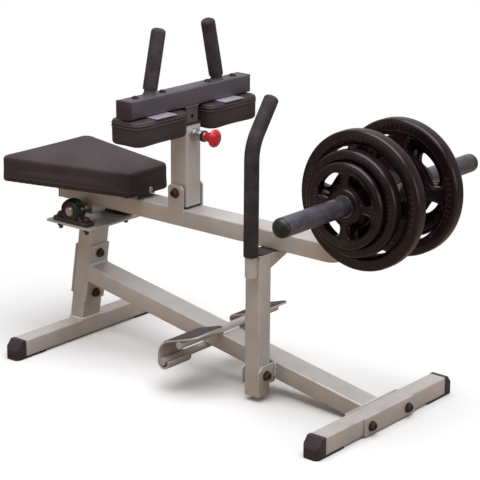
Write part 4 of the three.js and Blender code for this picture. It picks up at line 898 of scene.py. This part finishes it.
def weight_plate(name, x_middle, radius, thick, web, rim, window):
    """A plate about the axle, in shells that share their edges and are then welded.
    Hub and rim are profiles carried round. The web is four quarters: each is a grid from the quarter's
    border in to a rounded window, x = (1 - v) window + v border in radius and angle, thicker at the lip."""
    face, flat = thick / 2, web / 2
    hub_edge, web_edge = HUB + 4, radius - rim - 4
    window_mid, window_half = sum(window) / 2, (window[1] - window[0]) / 2
    arc_step = np.linspace(-1, 1, QUARTER_STEPS, endpoint=False)
    side_step = np.linspace(-1, 1, SIDE_STEPS, endpoint=False)
    outer_side = np.column_stack([np.ones(QUARTER_STEPS), arc_step])
    half_border = np.concatenate([outer_side, np.column_stack([-side_step, np.ones(SIDE_STEPS)])])
    border = np.concatenate([half_border, -half_border])
    angle = np.arctan2(border[:, 1], border[:, 0])
    powers = np.abs(np.cos(angle)) ** WINDOW_POWER + np.abs(np.sin(angle)) ** WINDOW_POWER
    round_way = powers[:, None] ** (-1 / WINDOW_POWER) * np.column_stack([np.cos(angle), np.sin(angle)])
    hole = (window_mid, 0) + round_way * (window_half, WINDOW_SPREAD)
    edge_line = ((hub_edge + web_edge) / 2, 0) + border * ((web_edge - hub_edge) / 2, math.pi / 4)
    share = np.array([0.0, 0.03, 0.1, 0.2, 0.3, 0.42, 0.6, 0.8, 1.0])[:, None, None]
    lift = np.array([-0.8, 1.8, 2.9, 2.5, 0.9, 0, 0, 0, 0])
    front = (1 - share) * hole + share * edge_line
    both = np.concatenate([front[::-1], front])
    height = np.concatenate([-(flat + lift)[::-1], flat + lift])[:, None]
    shells = [(both[..., 0], both[..., 1] + (0.5 + quarter) * math.pi / 2, height) for quarter in range(4)]
    around = np.arange(4 * QUARTER_STEPS) * math.pi / 2 / QUARTER_STEPS
    hub = [
        (hub_edge, flat), (HUB + 2.4, flat + 0.9), (HUB + 0.6, face - 1.6), (HUB - 1.2, face - 0.3),
        (HUB - 3, face), (BORE, face),
    ]
    rim_side = [
        (web_edge, flat), (web_edge + 2.4, flat + 1.2), (web_edge + 4.6, face - 3),
        (web_edge + 6.6, face - 0.8), (web_edge + 9.5, face), (radius - 9, face), (radius - 5, face - 0.9),
        (radius - 2.2, face - 3), (radius - 0.6, face - 6), (radius, face - 9.5),
    ]
    for profile in (hub, rim_side):
        r, x = np.array(mirrored(profile), float).T
        shells.append((r[:, None], around, x[:, None]))
    points, faces, start = [], [], 0
    for shell in shells:
        r, theta, x = np.broadcast_arrays(*shell)
        places = at(x_middle + x, AXLE_Y + r * np.cos(theta), AXLE_Z + r * np.sin(theta))
        points.append(places.reshape(-1, 3))
        faces.append(quads(*r.shape) + start)
        start += r.size
    mesh = bpy.data.meshes.new(name)
    mesh.from_pydata(np.concatenate(points).tolist(), [], np.concatenate(faces).tolist())
    work = bmesh.new()
    work.from_mesh(mesh)
    bmesh.ops.remove_doubles(work, verts=work.verts, dist=1e-5)
    bmesh.ops.recalc_face_normals(work, faces=work.faces)
    work.to_mesh(mesh)
    work.free()
    return outward(name, mesh, 40)


def plate_rubber(name, radius):
    """Rubber over cast iron: a satin skin with mould ripples, and fine radial ribs round the rim in four
    groups, where sin(72 angle) is above nought, cos(4 angle) is too, and the radius is in the rib band.
    Eight short nubs cross the rim's inner lip, where cos(8 angle) is near 1; their paler tone is a painted
    highlight."""
    rubber = Finish(name, Specular_IOR_Level=0.42)
    axle_place = (0, -(AXLE_Y * MM + FRONT_FACE), -AXLE_Z * MM)
    centred = rubber.node("ShaderNodeMapping", {}, {"Vector": rubber.place, "Location": axle_place})
    along_y = rubber.node("ShaderNodeSeparateXYZ", {}, {"Vector": centred}, "Y")
    along_z = Value(rubber, along_y.socket.node.outputs["Z"])
    distance = (along_y * along_y + along_z * along_z) ** 0.5
    angle = along_z.math("ARCTAN2", along_z, along_y)
    band_low, band_high = (radius - 25) * MM, (radius - 12) * MM
    band_start = rubber.rise(distance, band_low, band_low + 0.002)
    band = band_start * rubber.rise(distance, band_high, band_high - 0.002)
    ribs = rubber.rise(angle.math("SINE", angle * 72), 0.0, 0.7)
    groups = rubber.rise(angle.math("COSINE", angle * 4), 0.05, 0.2)
    ribbed = band * ribs * groups
    lip_start = rubber.rise(distance, band_low - 0.013, band_low - 0.011)
    lip = lip_start * rubber.rise(distance, band_low, band_low - 0.002)
    nubs_and_highlight = lip * rubber.rise(angle.math("COSINE", angle * 8), 0.975, 0.99)
    ripple = rubber.grain(24, 4)
    pore = rubber.grain(520, 2)
    colour = rubber.mix(rubber.rise(ripple, 0.35, 0.75) * 0.8, tone(26, 11, 17), tone(39, 21, 29))
    # Ribs and nubs are mixed toward a paler tone; on the nubs this paler tone is a painted highlight.
    colour = rubber.mix((ribbed + nubs_and_highlight) * 0.3, colour, tone(74, 60, 62))
    height = ribbed * 0.6 + nubs_and_highlight * 0.8 + pore * 0.05 + ripple * 0.2
    return rubber.close(colour, 0.22 + ripple * 0.12 + pore * 0.03, height, 0.0011)


bush_steel = machined_steel("bush_steel", tone(150, 138, 132), tone(205, 194, 188), (200, 900, 900), 0.3)
for hand, side in HANDS:
    offset = FIRST_PLATE_X
    for size, plate in PLATES.items():
        half = plate["thick"] / 2
        middle = side * (offset + half)
        offset += plate["thick"] + PLATE_GAP
        material = bpy.data.materials.get(f"rubber_{size}") or plate_rubber(f"rubber_{size}", plate["radius"])
        body = f"{size}_weight_{hand}"
        disc = weight_plate(f"plate_{size}_{hand}", middle, **plate)
        settle(disc, material, body, f"weight_{size}_{hand}", slot="weight_rubber")
        bush_half = [(25.7, 0), (25.7, 0.8 - half), (26.3, -half), (28, -half), (28.3, 0.3 - half)]
        hub = at(middle, AXLE_Y, AXLE_Z)
        bush = turned(f"plate_bush_{size}_{hand}", mirrored(bush_half), hub, X_WAY, Y_WAY, 64)
        settle(bush, bush_steel, body, slot="sleeve_steel")

# Thigh post: a 60 mm square tube held between the arm's ears by one bolt, on a plastic foot strip.
# A plastic bush in its top guides the pad carriage, and a spring pin through its front sets the height.
POST_FOOT_Z, POST_TOP_Z = 474.2, 702.2
BRACKET_BOLT_Z = 512.6
PIN_Z = 675.6
FRONT_WAY = (0, -1, 0)
HALF_POST = 30
post_face = POST_Y - HALF_POST - 0.3
post_ends = [(at(0, POST_Y, z), X_WAY, Y_WAY) for z in (POST_FOOT_Z, POST_TOP_Z)]
thigh_post = square_tube("thigh_post_tube", post_ends, HALF_POST, HALF_POST)
settle(thigh_post, silver_paint, "lever", "thigh_post")
soften("post_foot_cap", "post_foot_strip", 1.2, black_plastic, "lever")
soften("post_bush", "post_guide_bush", 1.0, black_plastic, "lever", least=20)
bolt("bracket_bolt", "lever", at(-EAR_OUTER_X, POST_Y, BRACKET_BOLT_Z), X_WAY, Y_WAY, 2 * EAR_OUTER_X)
for hand, side in HANDS:
    foot = at(side * 30.4, POST_Y, BRACKET_BOLT_Z)
    spacer_profile = [(6.2, 0), (10, 0), (10, 6.7), (6.2, 6.7)]
    settle(turned(f"post_spacer_{hand}", spacer_profile, foot, (side, 0, 0), Y_WAY, 32), bolt_steel, "lever")


def glossy_plastic(name, deep, bright):
    """Glossy moulded plastic: a clear sheen with faint flow marks and fine scratches."""
    plastic = Finish(name, Specular_IOR_Level=0.5, Coat_Weight=0.3, Coat_Roughness=0.12)
    flow = plastic.grain(40, 3)
    scratch = plastic.rise(plastic.grain(1.0, 4, plastic.stretched(500, 60, 500)), 0.6, 0.74)
    colour = plastic.mix(plastic.rise(flow, 0.3, 0.7), deep, bright)
    return plastic.close(colour, 0.24 + flow * 0.1 + scratch * 0.15, flow * 0.7 + scratch * 0.3, 0.00015)


zinc = machined_steel("zinc_plate", tone(150, 150, 152), tone(206, 206, 210), (60, 1400, 60), 0.32)
red_plastic = glossy_plastic("red_plastic", tone(188, 26, 38), tone(214, 42, 52))
BARREL = [
    (5.8, 0), (15.5, 0), (16.8, 1.2), (16.8, 9), (15.8, 10.2), (13.4, 10.6), (13.4, 12.4), (14.3, 13.2),
    (14.3, 31), (13.6, 32.2), (12, 32.4), (12, 42.4), (11.2, 43.4), (5.8, 43.4),
]
LOCK_RING = [(12.1, 0), (15.0, 0), (15.8, 0.9), (15.8, 7.6), (15.0, 8.6), (12.1, 8.8)]
PIN = [(0.4, 0), (3.8, 0), (5, 1.6), (5, 71), (4.4, 72), (0.4, 72)]
KNOB = [
    (0.4, 41), (8, 40.6), (15, 39.2), (20.5, 36.8), (23.6, 34), (25, 31), (24.6, 28.8), (22.6, 26.4),
    (18.8, 23), (15.2, 18), (13.2, 12), (12.6, 6), (12.4, 1.2), (11.6, 0.4), (5.3, 0.3), (5.3, 12), (0.4, 12),
]
barrel = turned("pin_barrel_body", BARREL, at(0, post_face, PIN_Z), FRONT_WAY, X_WAY, 48)
settle(barrel, zinc, "lever", "pin_barrel", slot="bright_steel")
lock_ring = turned("pin_lock_ring", LOCK_RING, at(0, post_face - 33, PIN_Z), FRONT_WAY, X_WAY, 48)
settle(lock_ring, black_plastic, "lever")
pin = turned("pop_pin_rod", PIN, at(0, post_face + 5, PIN_Z), FRONT_WAY, X_WAY, 32)
settle(pin, bright_steel, "height_pin", "pop_pin")
knob = turned("pin_knob_head", KNOB, at(0, post_face - 44, PIN_Z), FRONT_WAY, X_WAY, 56)
settle(knob, red_plastic, "height_pin", "pin_knob")

# Seat channel: a shallow channel folded from 3 mm steel sheet, open below, and powder coated like the frame.
# It lies on the lever arm, and the seat's board is screwed down on it.
soften("seat_channel", "seat_channel_sheet", 1.2, silver_paint, "lever", least=20)

# Seat: foam over a board in black vinyl, narrow in front for the thighs and wide at the rear.
# The cover is drawn tight over the crown and stapled under the board, with a sewn line low on its sides.
SEAT_BOTTOM = 479.2
SEAT_SEAM = 15
SEAT_CORNERS = [(-80, 833), (80, 833), (183, 1256), (-183, 1256)]
SCREW_X, SCREW_Y = 66, {"front": 862, "rear": 1215}
REMESH_SIZE = 0.005
VINYL_CLOTH = {
    "quality": 5, "mass": 0.25, "tension_stiffness": 18, "compression_stiffness": 18, "shear_stiffness": 6,
    "bending_stiffness": 0.6, "use_pressure": True, "uniform_pressure_force": 4.0,
    "vertex_group_mass": "board",
}
SWELL_FRAMES = 20
SEAM_POINTS = 240


def cushion_rings(corners, corner, height, crown, edge, inset):
    """A plain start for a cushion: the rounded outline at a few heights, then shrinking rings over the top,
    which rises by crown (1 - share squared). Gives rings of (x, y, z) in mm on z = 0."""
    outline = clipped(corners, corner, 7)
    side = np.roll(outline, -1, axis=0) - outline
    counts = np.maximum((np.linalg.norm(side, axis=1) / 12).astype(int), 1)
    index = np.repeat(np.arange(len(outline)), counts)
    along = (np.arange(len(index)) - np.repeat(np.cumsum(counts) - counts, counts)) / counts[index]
    outline = outline[index] + along[:, None] * side[index]
    centre = outline.mean(axis=0)
    unit = (outline - centre) / np.linalg.norm(outline - centre, axis=1, keepdims=True)
    shoulder = height - crown
    turn = np.radians([25, 50, 75])
    drawn = np.concatenate([[inset + 2, inset, inset, inset], inset + edge * (1 - np.cos(turn))])
    rise = np.concatenate([[0, 3, shoulder * 0.5, shoulder - edge], shoulder - edge + edge * np.sin(turn)])
    share = np.array([0.9, 0.7, 0.5, 0.3, 0.12])
    walls = outline - unit * drawn[:, None, None]
    top = centre + (outline - unit * (inset + edge) - centre) * share[:, None, None]
    level = np.concatenate([rise, shoulder + crown * (1 - share**2)])[:, None, None]
    flat = np.concatenate([walls, top])
    return np.concatenate([flat, np.broadcast_to(level, (*flat.shape[:2], 1))], axis=-1)


def spots_of(mesh):
    """The places of a mesh's vertices, one to a row."""
    spots = np.empty(len(mesh.vertices) * 3)
    mesh.vertices.foreach_get("co", spots)
    return spots.reshape(-1, 3)


def stuffed(name, rings, place, flip, held, cap):
    """A cushion blown up as cloth: the start is remeshed to 5 mm, the lowest mm of its board side are held,
    and the pressure swells it for 20 frames. No point moves further than cap. Then it is smoothed by one
    subdivision. flip is 0, or the height at which the board side lies on top."""
    if flip:
        rings = (rings * (1, 1, -1) + (0, 0, flip))[::-1]
    start = skin(name, place + rings * MM, smooth=180)
    remesh = start.modifiers.new("remesh", "REMESH")
    remesh.mode = "VOXEL"
    remesh.voxel_size = REMESH_SIZE
    deps = bpy.context.evaluated_depsgraph_get()
    fine = bpy.data.meshes.new_from_object(start.evaluated_get(deps))
    start.modifiers.clear()
    start.data = fine
    spots = spots_of(fine)
    group = start.vertex_groups.new(name="board")
    side = (spots[:, 2] - place[2]) / MM
    side = (flip - side) if flip else side
    group.add(np.nonzero(side < held)[0].tolist(), 1.0, "REPLACE")
    cloth = start.modifiers.new("swell", "CLOTH")
    for name, setting in VINYL_CLOTH.items():
        setattr(cloth.settings, name, setting)
    cloth.settings.effector_weights.gravity = 0
    cloth.point_cache.frame_start = 1
    cloth.point_cache.frame_end = SWELL_FRAMES
    for number in range(1, SWELL_FRAMES + 1):
        scene.frame_set(number)
    deps = bpy.context.evaluated_depsgraph_get()
    move = spots_of(start.evaluated_get(deps).to_mesh()) - spots
    start.evaluated_get(deps).to_mesh_clear()
    start.modifiers.clear()
    start.vertex_groups.clear()
    scene.frame_set(1)
    length = np.linalg.norm(move, axis=1, keepdims=True)
    spots = spots + move * np.minimum(1, cap * MM / np.maximum(length, 1e-9))
    fine.vertices.foreach_set("co", spots.reshape(-1))
    fine.update()
    fine.shade_smooth()
    finer = start.modifiers.new("finer", "SUBSURF")
    finer.levels = finer.render_levels = 1
    return start


def sewn_line(name, cushion, height, radius, proud):
    """Piping round a cushion at a height in mm: the cushion's outermost points near that height are sorted
    into directions from its middle, smoothed, and carry a thin round section."""
    spots = spots_of(cushion.data)
    near = spots[np.abs(spots[:, 2] - height * MM) < 0.0075]
    middle = (spots.min(axis=0) + spots.max(axis=0))[:2] / 2
    stretch = np.ptp(near[:, 1]) / np.ptp(near[:, 0])
    away = near[:, :2] - middle
    turn = np.arctan2(away[:, 1], away[:, 0] * stretch) / (2 * math.pi) + 1
    bins = (turn * SEAM_POINTS).astype(int) % SEAM_POINTS
    distance = np.linalg.norm(away * (stretch, 1), axis=1)
    farthest = np.zeros(SEAM_POINTS)
    np.maximum.at(farthest, bins, distance)
    keep = distance > farthest[bins] - 0.004
    total = np.zeros((SEAM_POINTS, 2))
    weight = np.zeros(SEAM_POINTS)
    np.add.at(total, bins[keep], near[keep, :2])
    np.add.at(weight, bins[keep], 1)
    filled = weight > 0
    index = np.arange(SEAM_POINTS)
    ring = total[filled] / weight[filled, None]
    path = np.column_stack([np.interp(index, index[filled], ring[:, i], period=SEAM_POINTS) for i in (0, 1)])
    kernel = np.array([1, 4, 6, 4, 1]) / 16
    for _ in range(3):
        path = sum(k * np.roll(path, s, axis=0) for k, s in zip(kernel, range(-2, 3)))
    tangent = np.roll(path, -1, axis=0) - np.roll(path, 1, axis=0)
    tangent /= np.linalg.norm(tangent, axis=1, keepdims=True)
    out = np.column_stack([tangent[:, 1], -tangent[:, 0]])
    centres = np.column_stack([path + out * proud * MM, np.full(SEAM_POINTS, height * MM)])
    across = np.column_stack([out, np.zeros(SEAM_POINTS)])
    return skin(name, carry(circle(8), centres, across, Z_WAY, radius), looped=True, smooth=80)


def vinyl(name, dark, pale, rough=0.5):
    """Upholstery vinyl: a pebbled leather grain in cells of about 1.5 mm, with painted shade in its valleys,
    fine creases and a slow drift of tone."""
    cover = Finish(name, Specular_IOR_Level=0.42)
    sockets = {"Vector": cover.place, "Scale": 640.0, "Smoothness": 0.6}
    cells = cover.node("ShaderNodeTexVoronoi", {"feature": "SMOOTH_F1"}, sockets, "Distance")
    crease = cover.grain(90, 5)
    drift = cover.grain(9, 3)
    colour = cover.mix(cover.rise(drift, 0.3, 0.75), dark, pale)
    # Painted shade: the grain's valleys are darkened.
    colour = cover.mix(cover.rise(cells, 0.35, 0.75) * 0.35, colour, dark)
    height = (1 - cells) * 0.7 + crease * 0.5
    return cover.close(colour, rough + crease * 0.12 + cells * 0.06, height, 0.0004)


black_vinyl = vinyl("black_vinyl", tone(52, 41, 45), tone(66, 55, 59))
# The piping and sewn lines take a paler, glossier copy of the black vinyl: a painted highlight along the
# cords.
highlit_piping_vinyl = vinyl("highlit_piping_vinyl", tone(58, 47, 52), tone(76, 65, 70), 0.4)
seat_rings = cushion_rings(SEAT_CORNERS, corner=27, height=75.5, crown=2.5, edge=9, inset=-1.2)
seat = stuffed("seat_pad", seat_rings, at(0, 0, SEAT_BOTTOM), flip=0, held=9, cap=1.6)
settle(seat, black_vinyl, "lever", "seat_cushion")
seat_line = sewn_line("seat_sewn_line", seat, SEAT_BOTTOM + SEAT_SEAM, 1.3, 1.0)
settle(seat_line, highlit_piping_vinyl, "lever", slot="black_vinyl")
SCREW = [
    (0.4, 4.4), (2.6, 4.4, 1), (3, 5.8, 1), (4.4, 6.2), (6.6, 5.2), (7.6, 3.2), (7.6, 0.4), (4, 0.2), (4, -6),
    (0.4, -6),
]
front_nub = turned("seat_nub", SCREW, at(0, 833.2, SEAT_BOTTOM + 12), FRONT_WAY, X_WAY, 30)
settle(front_nub, bright_steel, "lever")
for hand, side in HANDS:
    for way, y in SCREW_Y.items():
        place = at(side * SCREW_X, y, SEAT_BOTTOM - 0.2)
        screw = turned(f"seat_screw_{hand}_{way}", SCREW, place, (0, 0, -1), X_WAY, 30)
        settle(screw, bolt_steel, "lever", slot="bright_steel")

# Pad carriage: a 50 mm tube that slides in the thigh post, with the crossbar welded on its top.
# Both are powder coated in dark grey, and moulded caps with round noses close the crossbar's ends.
CROSSBAR_FOOT, CROSSBAR_TOP = 753.6, 803.6
CROSSBAR_END = 242
BUTTON_X = {"inner": 93, "outer": 200}
bar_middle = (CROSSBAR_FOOT + CROSSBAR_TOP) / 2
# The last colour is the paler edge tone: partly rubbed paint, partly a painted highlight.
crossbar_paint = powder_coat(
    "crossbar_paint", tone(80, 75, 82), tone(94, 88, 96), tone(124, 119, 126), 0.25, 0.42
)
bar_end_plastic = moulded_plastic("bar_end_plastic", tone(56, 45, 47), tone(70, 58, 60), 0.5)
screw_steel = fired_oxide("screw_steel", tone(44, 39, 41), tone(78, 71, 74))
soften("inner_post", "inner_post_tube", 3.0, crossbar_paint, "pad_carriage", least=30, along=Z_WAY)
bar_ends = [(at(x, POST_Y, bar_middle), Y_WAY, Z_WAY) for x in (-CROSSBAR_END, CROSSBAR_END)]
crossbar = square_tube("crossbar_tube", bar_ends, HALF_TUBE, HALF_TUBE)
settle(crossbar, crossbar_paint, "pad_carriage", "crossbar")
BUTTON = [
    (0.4, 3.2), (3, 3.4, 1), (3.4, 5.8, 1), (4.6, 6.4), (6.8, 5.6), (8.4, 3.2), (8.8, 1.4), (10.4, 1.2),
    (10.6, 0.2), (4, 0), (4, -2), (0.4, -2),
]
for hand, side in HANDS:
    near, far = side * (CROSSBAR_END + 0.2), side * (CROSSBAR_END + 7.4)
    plan = clipped([(near, -25.2), (far, -25.2), (far, 25.2), (near, 25.2)], 6.5, 6)
    cap = slab(f"crossbar_cap_{hand}_moulding", plan, at(0, POST_Y, bar_middle), X_WAY, Y_WAY, 50.4, 2.4)
    settle(cap, bar_end_plastic, "pad_carriage", f"crossbar_cap_{hand}", slot="black_plastic")
for hand, side in HANDS:
    for place, x in BUTTON_X.items():
        foot = at(side * x, POST_Y, CROSSBAR_TOP)
        screw = turned(f"bar_screw_{hand}_{place}", BUTTON, foot, Z_WAY, X_WAY, 36)
        settle(screw, screw_steel, "pad_carriage", slot="bolt_steel")
collar = round_box(25.6, 25.6, 4)
collar = np.vstack([collar, collar[:1]]) + (0, POST_Y)
collar_path = np.column_stack([collar, np.full(len(collar), CROSSBAR_FOOT - 1)])
bead("carriage_weld", collar_path, 2.0, crossbar_paint, "pad_carriage", "crossbar_paint")

# Thigh pads: foam blocks in black vinyl, screwed to two steel plates under the crossbar.
# Two rows of piping run round each pad below its top, and the foam bulges from them to the rounded foot.
PAD_TOP = 750.0
PAD_HEIGHT = 68
PAD_X = (42, 253)
PAD_Y = (643, 753)
# The last colour is the paler edge tone: partly rubbed paint, partly a painted highlight.
plate_zinc = powder_coat(
    "plate_zinc", tone(176, 174, 186), tone(196, 194, 206), tone(220, 219, 226), 0.45, 0.34
)
for hand, side in HANDS:
    soften(f"pad_plate_{hand}", f"pad_plate_{hand}_sheet", 1.0, plate_zinc, "pad_carriage")
    low, high = sorted(side * x for x in PAD_X)
    corners = [(low, PAD_Y[0]), (high, PAD_Y[0]), (high, PAD_Y[1]), (low, PAD_Y[1])]
    rings = cushion_rings(corners, corner=32, height=PAD_HEIGHT + 2.5, crown=3, edge=9, inset=0.4)
    place = at(0, 0, PAD_TOP - PAD_HEIGHT)
    pad = stuffed(f"thigh_pad_{hand}_foam", rings, place, flip=PAD_HEIGHT, held=8, cap=1.0)
    settle(pad, black_vinyl, "pad_carriage", f"thigh_pad_{hand}")
    for row, depth in (("upper", 9), ("lower", 17)):
        cord = sewn_line(f"pad_piping_{hand}_{row}", pad, PAD_TOP - depth, 1.9, 0.3)
        settle(cord, highlit_piping_vinyl, "pad_carriage", slot="black_vinyl")

# Hand grips: foam sleeves with domed ends on two steel stubs that lean inwards from the crossbar.
# The stubs are welded on the crossbar and painted with it, and the foam is pushed over them.
GRIP_X, GRIP_Y = 139, 706
GRIP_LEAN = math.radians(13.1)
GRIP_LENGTH = 178
GRIP_DOME = 11


def cellular_foam(name, dark, pale):
    """Closed cell foam: fine pits darkened by painted shade, and a soft drift of tone and gloss."""
    foam = Finish(name, Specular_IOR_Level=0.3)
    pits_and_shade = foam.node("ShaderNodeTexVoronoi", {}, {"Vector": foam.place, "Scale": 820.0}, "Distance")
    drift = foam.grain(26, 4)
    colour = foam.mix(foam.rise(drift, 0.3, 0.72), dark, pale)
    # Painted shade: the pits are darkened.
    colour = foam.mix(foam.rise(pits_and_shade, 0.2, 0.05) * 0.5, colour, tone(26, 22, 25))
    return foam.close(colour, 0.66 + drift * 0.14, foam.rise(pits_and_shade, 0.0, 0.4) * 0.8 + drift * 0.6, 0.0005)


foam_black = cellular_foam("foam_black", tone(52, 45, 48), tone(72, 64, 68))
shoulder = GRIP_LENGTH - GRIP_DOME
grip_profile = [
    (0.4, 20), (16.3, 20), (16.3, 12.6), (17, 12), (18.6, 12), (19.6, 12.8), (20, 14.4), (20.15, 60),
    (20, 110), (20, shoulder - 2.4), (19.3, shoulder - 1.6), (19.3, shoulder - 0.6),
]
for angle in np.linspace(0, math.pi / 2 - 0.02, 10):
    grip_profile.append((19.8 * math.cos(angle) ** 0.8, shoulder + GRIP_DOME * math.sin(angle)))
stub_profile = [(0.4, -4), (16, -4), (16, 19.5), (0.4, 19.5)]
angle = np.linspace(0, 2 * math.pi, 40)
for hand, side in HANDS:
    way = (-side * math.sin(GRIP_LEAN), 0, math.cos(GRIP_LEAN))
    foot = at(side * GRIP_X, GRIP_Y, CROSSBAR_TOP)
    grip = turned(f"hand_grip_{hand}_foam", grip_profile, foot, way, Y_WAY, 48)
    settle(grip, foam_black, "pad_carriage", f"hand_grip_{hand}", slot="foam")
    settle(turned(f"grip_stub_{hand}", stub_profile, foot, way, Y_WAY, 48), crossbar_paint, "pad_carriage")
    ring_x, ring_y = side * GRIP_X + 16.8 * np.cos(angle), GRIP_Y + 16.4 * np.sin(angle)
    ring = np.column_stack([ring_x, ring_y, np.full(len(angle), CROSSBAR_TOP + 0.6)])
    bead(f"stub_weld_{hand}", ring, 1.8, crossbar_paint, "pad_carriage", "crossbar_paint")

# Catch: a 50 mm post beside the beam that swings out sideways on its bolt. Its head reaches in under the
# arm, with a rubber pad on it whose black is partly painted shade, and a bent round handle in foam is welded
# to the post's outer side.
CATCH_FOOT_Z, CATCH_TOP_Z = 16, 408
HEAD_TOP = 413.5
HEAD_TIP_X, REST_EDGE_X = 15, -38
REST_TOP = ARM_BOTTOM - 0.3
REST_THICK = 3.8
HANDLE_X, HANDLE_Y = -117.3, 370
HANDLE_RADIUS = 16
HANDLE_FOOT_Z = 359
HANDLE_BEND_Z = 674
HANDLE_BEND_RADIUS = 120
HANDLE_LEAN = math.radians(35)
GRIP_FOOT_Z = 414.5
GRIP_TIP = 107
catch_ends = [(at(CATCH_X, CATCH_Y, z), X_WAY, Y_WAY) for z in (CATCH_FOOT_Z, CATCH_TOP_Z)]
catch = square_tube("catch_post_tube", catch_ends, HALF_TUBE, HALF_TUBE)
settle(catch, silver_paint, "catch", "catch_post")
sweep = math.hypot(REST_TOP - CATCH_PIVOT_Z, REST_EDGE_X - CATCH_X)
curve_x = np.linspace(HEAD_TIP_X, REST_EDGE_X, 9)
curve_z = CATCH_PIVOT_Z + np.sqrt((sweep - REST_THICK) ** 2 - (curve_x - CATCH_X) ** 2)
head_foot = [(-101, 407.5), (-51.5, 407.5), (-51.5, 372), (HEAD_TIP_X, curve_z[0] - 7)]
head_outline = [*head_foot, *zip(curve_x, curve_z), (-101, HEAD_TOP)]
settle(slab("catch_head", head_outline, at(0, CATCH_Y, 0), X_WAY, Z_WAY, 50, 1.2), silver_paint, "catch")
# A rubber pad, whose black also stands in for the shade under the arm on the head's top.
soften("catch_rest_pad", "catch_rest_rubber_and_shade", 0.8, boot_rubber, "catch")


def handle_path(low, tip):
    """The handle's middle line: straight up to the bend, an arc of 120 mm inwards through 35 degrees,
    and straight on to the tip. Gives places, headings and the length run so far in mm."""
    angle = np.linspace(0, HANDLE_LEAN, 16)[1:]
    on = np.linspace(0, tip, 24)[1:]
    lean = np.concatenate([np.zeros(20), angle, np.full(23, HANDLE_LEAN)])
    ahead = np.concatenate([np.zeros(20), np.zeros(15), on])
    x = HANDLE_X + HANDLE_BEND_RADIUS * (1 - np.cos(lean)) + ahead * np.sin(lean)
    z = HANDLE_BEND_Z + HANDLE_BEND_RADIUS * np.sin(lean) + ahead * np.cos(lean)
    z[:20] = np.linspace(low, HANDLE_BEND_Z, 20)
    run = np.concatenate([[0], np.cumsum(np.hypot(np.diff(x), np.diff(z)))])
    return x, z, lean, run


def bent_rod(name, low, tip, ends=None):
    """A round rod along the handle's path. Its radius follows ends(run from the foot, run to the tip), or is
    the tube's."""
    x, z, lean, run = handle_path(low, tip)
    dense = np.unique(np.concatenate([run, np.linspace(0, 6, 8), run[-1] - np.linspace(0, 16, 40)]))
    x, z, lean = (np.interp(dense, run, line) for line in (x, z, lean))
    across = np.column_stack([np.cos(lean), np.zeros(len(lean)), -np.sin(lean)])
    radius = ends(dense, dense[-1] - dense) if ends else HANDLE_RADIUS
    return skin(name, carry(circle(40), at(x, HANDLE_Y, z), across, Y_WAY, radius), smooth=40)


def foam_ends(from_foot, to_tip):
    """A small round at the foot, a moulded ring line 12 mm from the tip, and a flattened dome."""
    foot_round = 18.2 + 1.8 * np.sqrt(np.clip(1 - (1 - np.clip(from_foot / 3, 0, 1)) ** 2, 0, 1))
    tip_round = np.clip(1 - (1 - np.clip(to_tip / 11, 0, 1)) ** 2, 0.0004, 1) ** 0.4
    groove = 1 - 0.045 * np.exp(-(((to_tip - 12.6) / 0.8) ** 2))
    return foot_round * tip_round * groove


settle(bent_rod("catch_handle_tube", HANDLE_FOOT_Z, 60), silver_paint, "catch", "catch_handle")
plug_profile = [(0.4, -0.4), (14.2, -0.4), (14.2, 3), (0.4, 3)]
plug = turned("handle_end_plug", plug_profile, at(HANDLE_X, HANDLE_Y, HANDLE_FOOT_Z), Z_WAY, X_WAY, 32)
settle(plug, black_plastic, "catch")
grip = bent_rod("catch_grip_foam", GRIP_FOOT_Z, GRIP_TIP, foam_ends)
settle(grip, foam_black, "catch", "catch_grip", slot="foam")
for way, sign in WAYS:
    path = [(-101.6, HANDLE_Y + sign * 6.5, z) for z in (362, 411)]
    bead(f"handle_weld_{way}", path, 2.4, silver_paint, "catch")
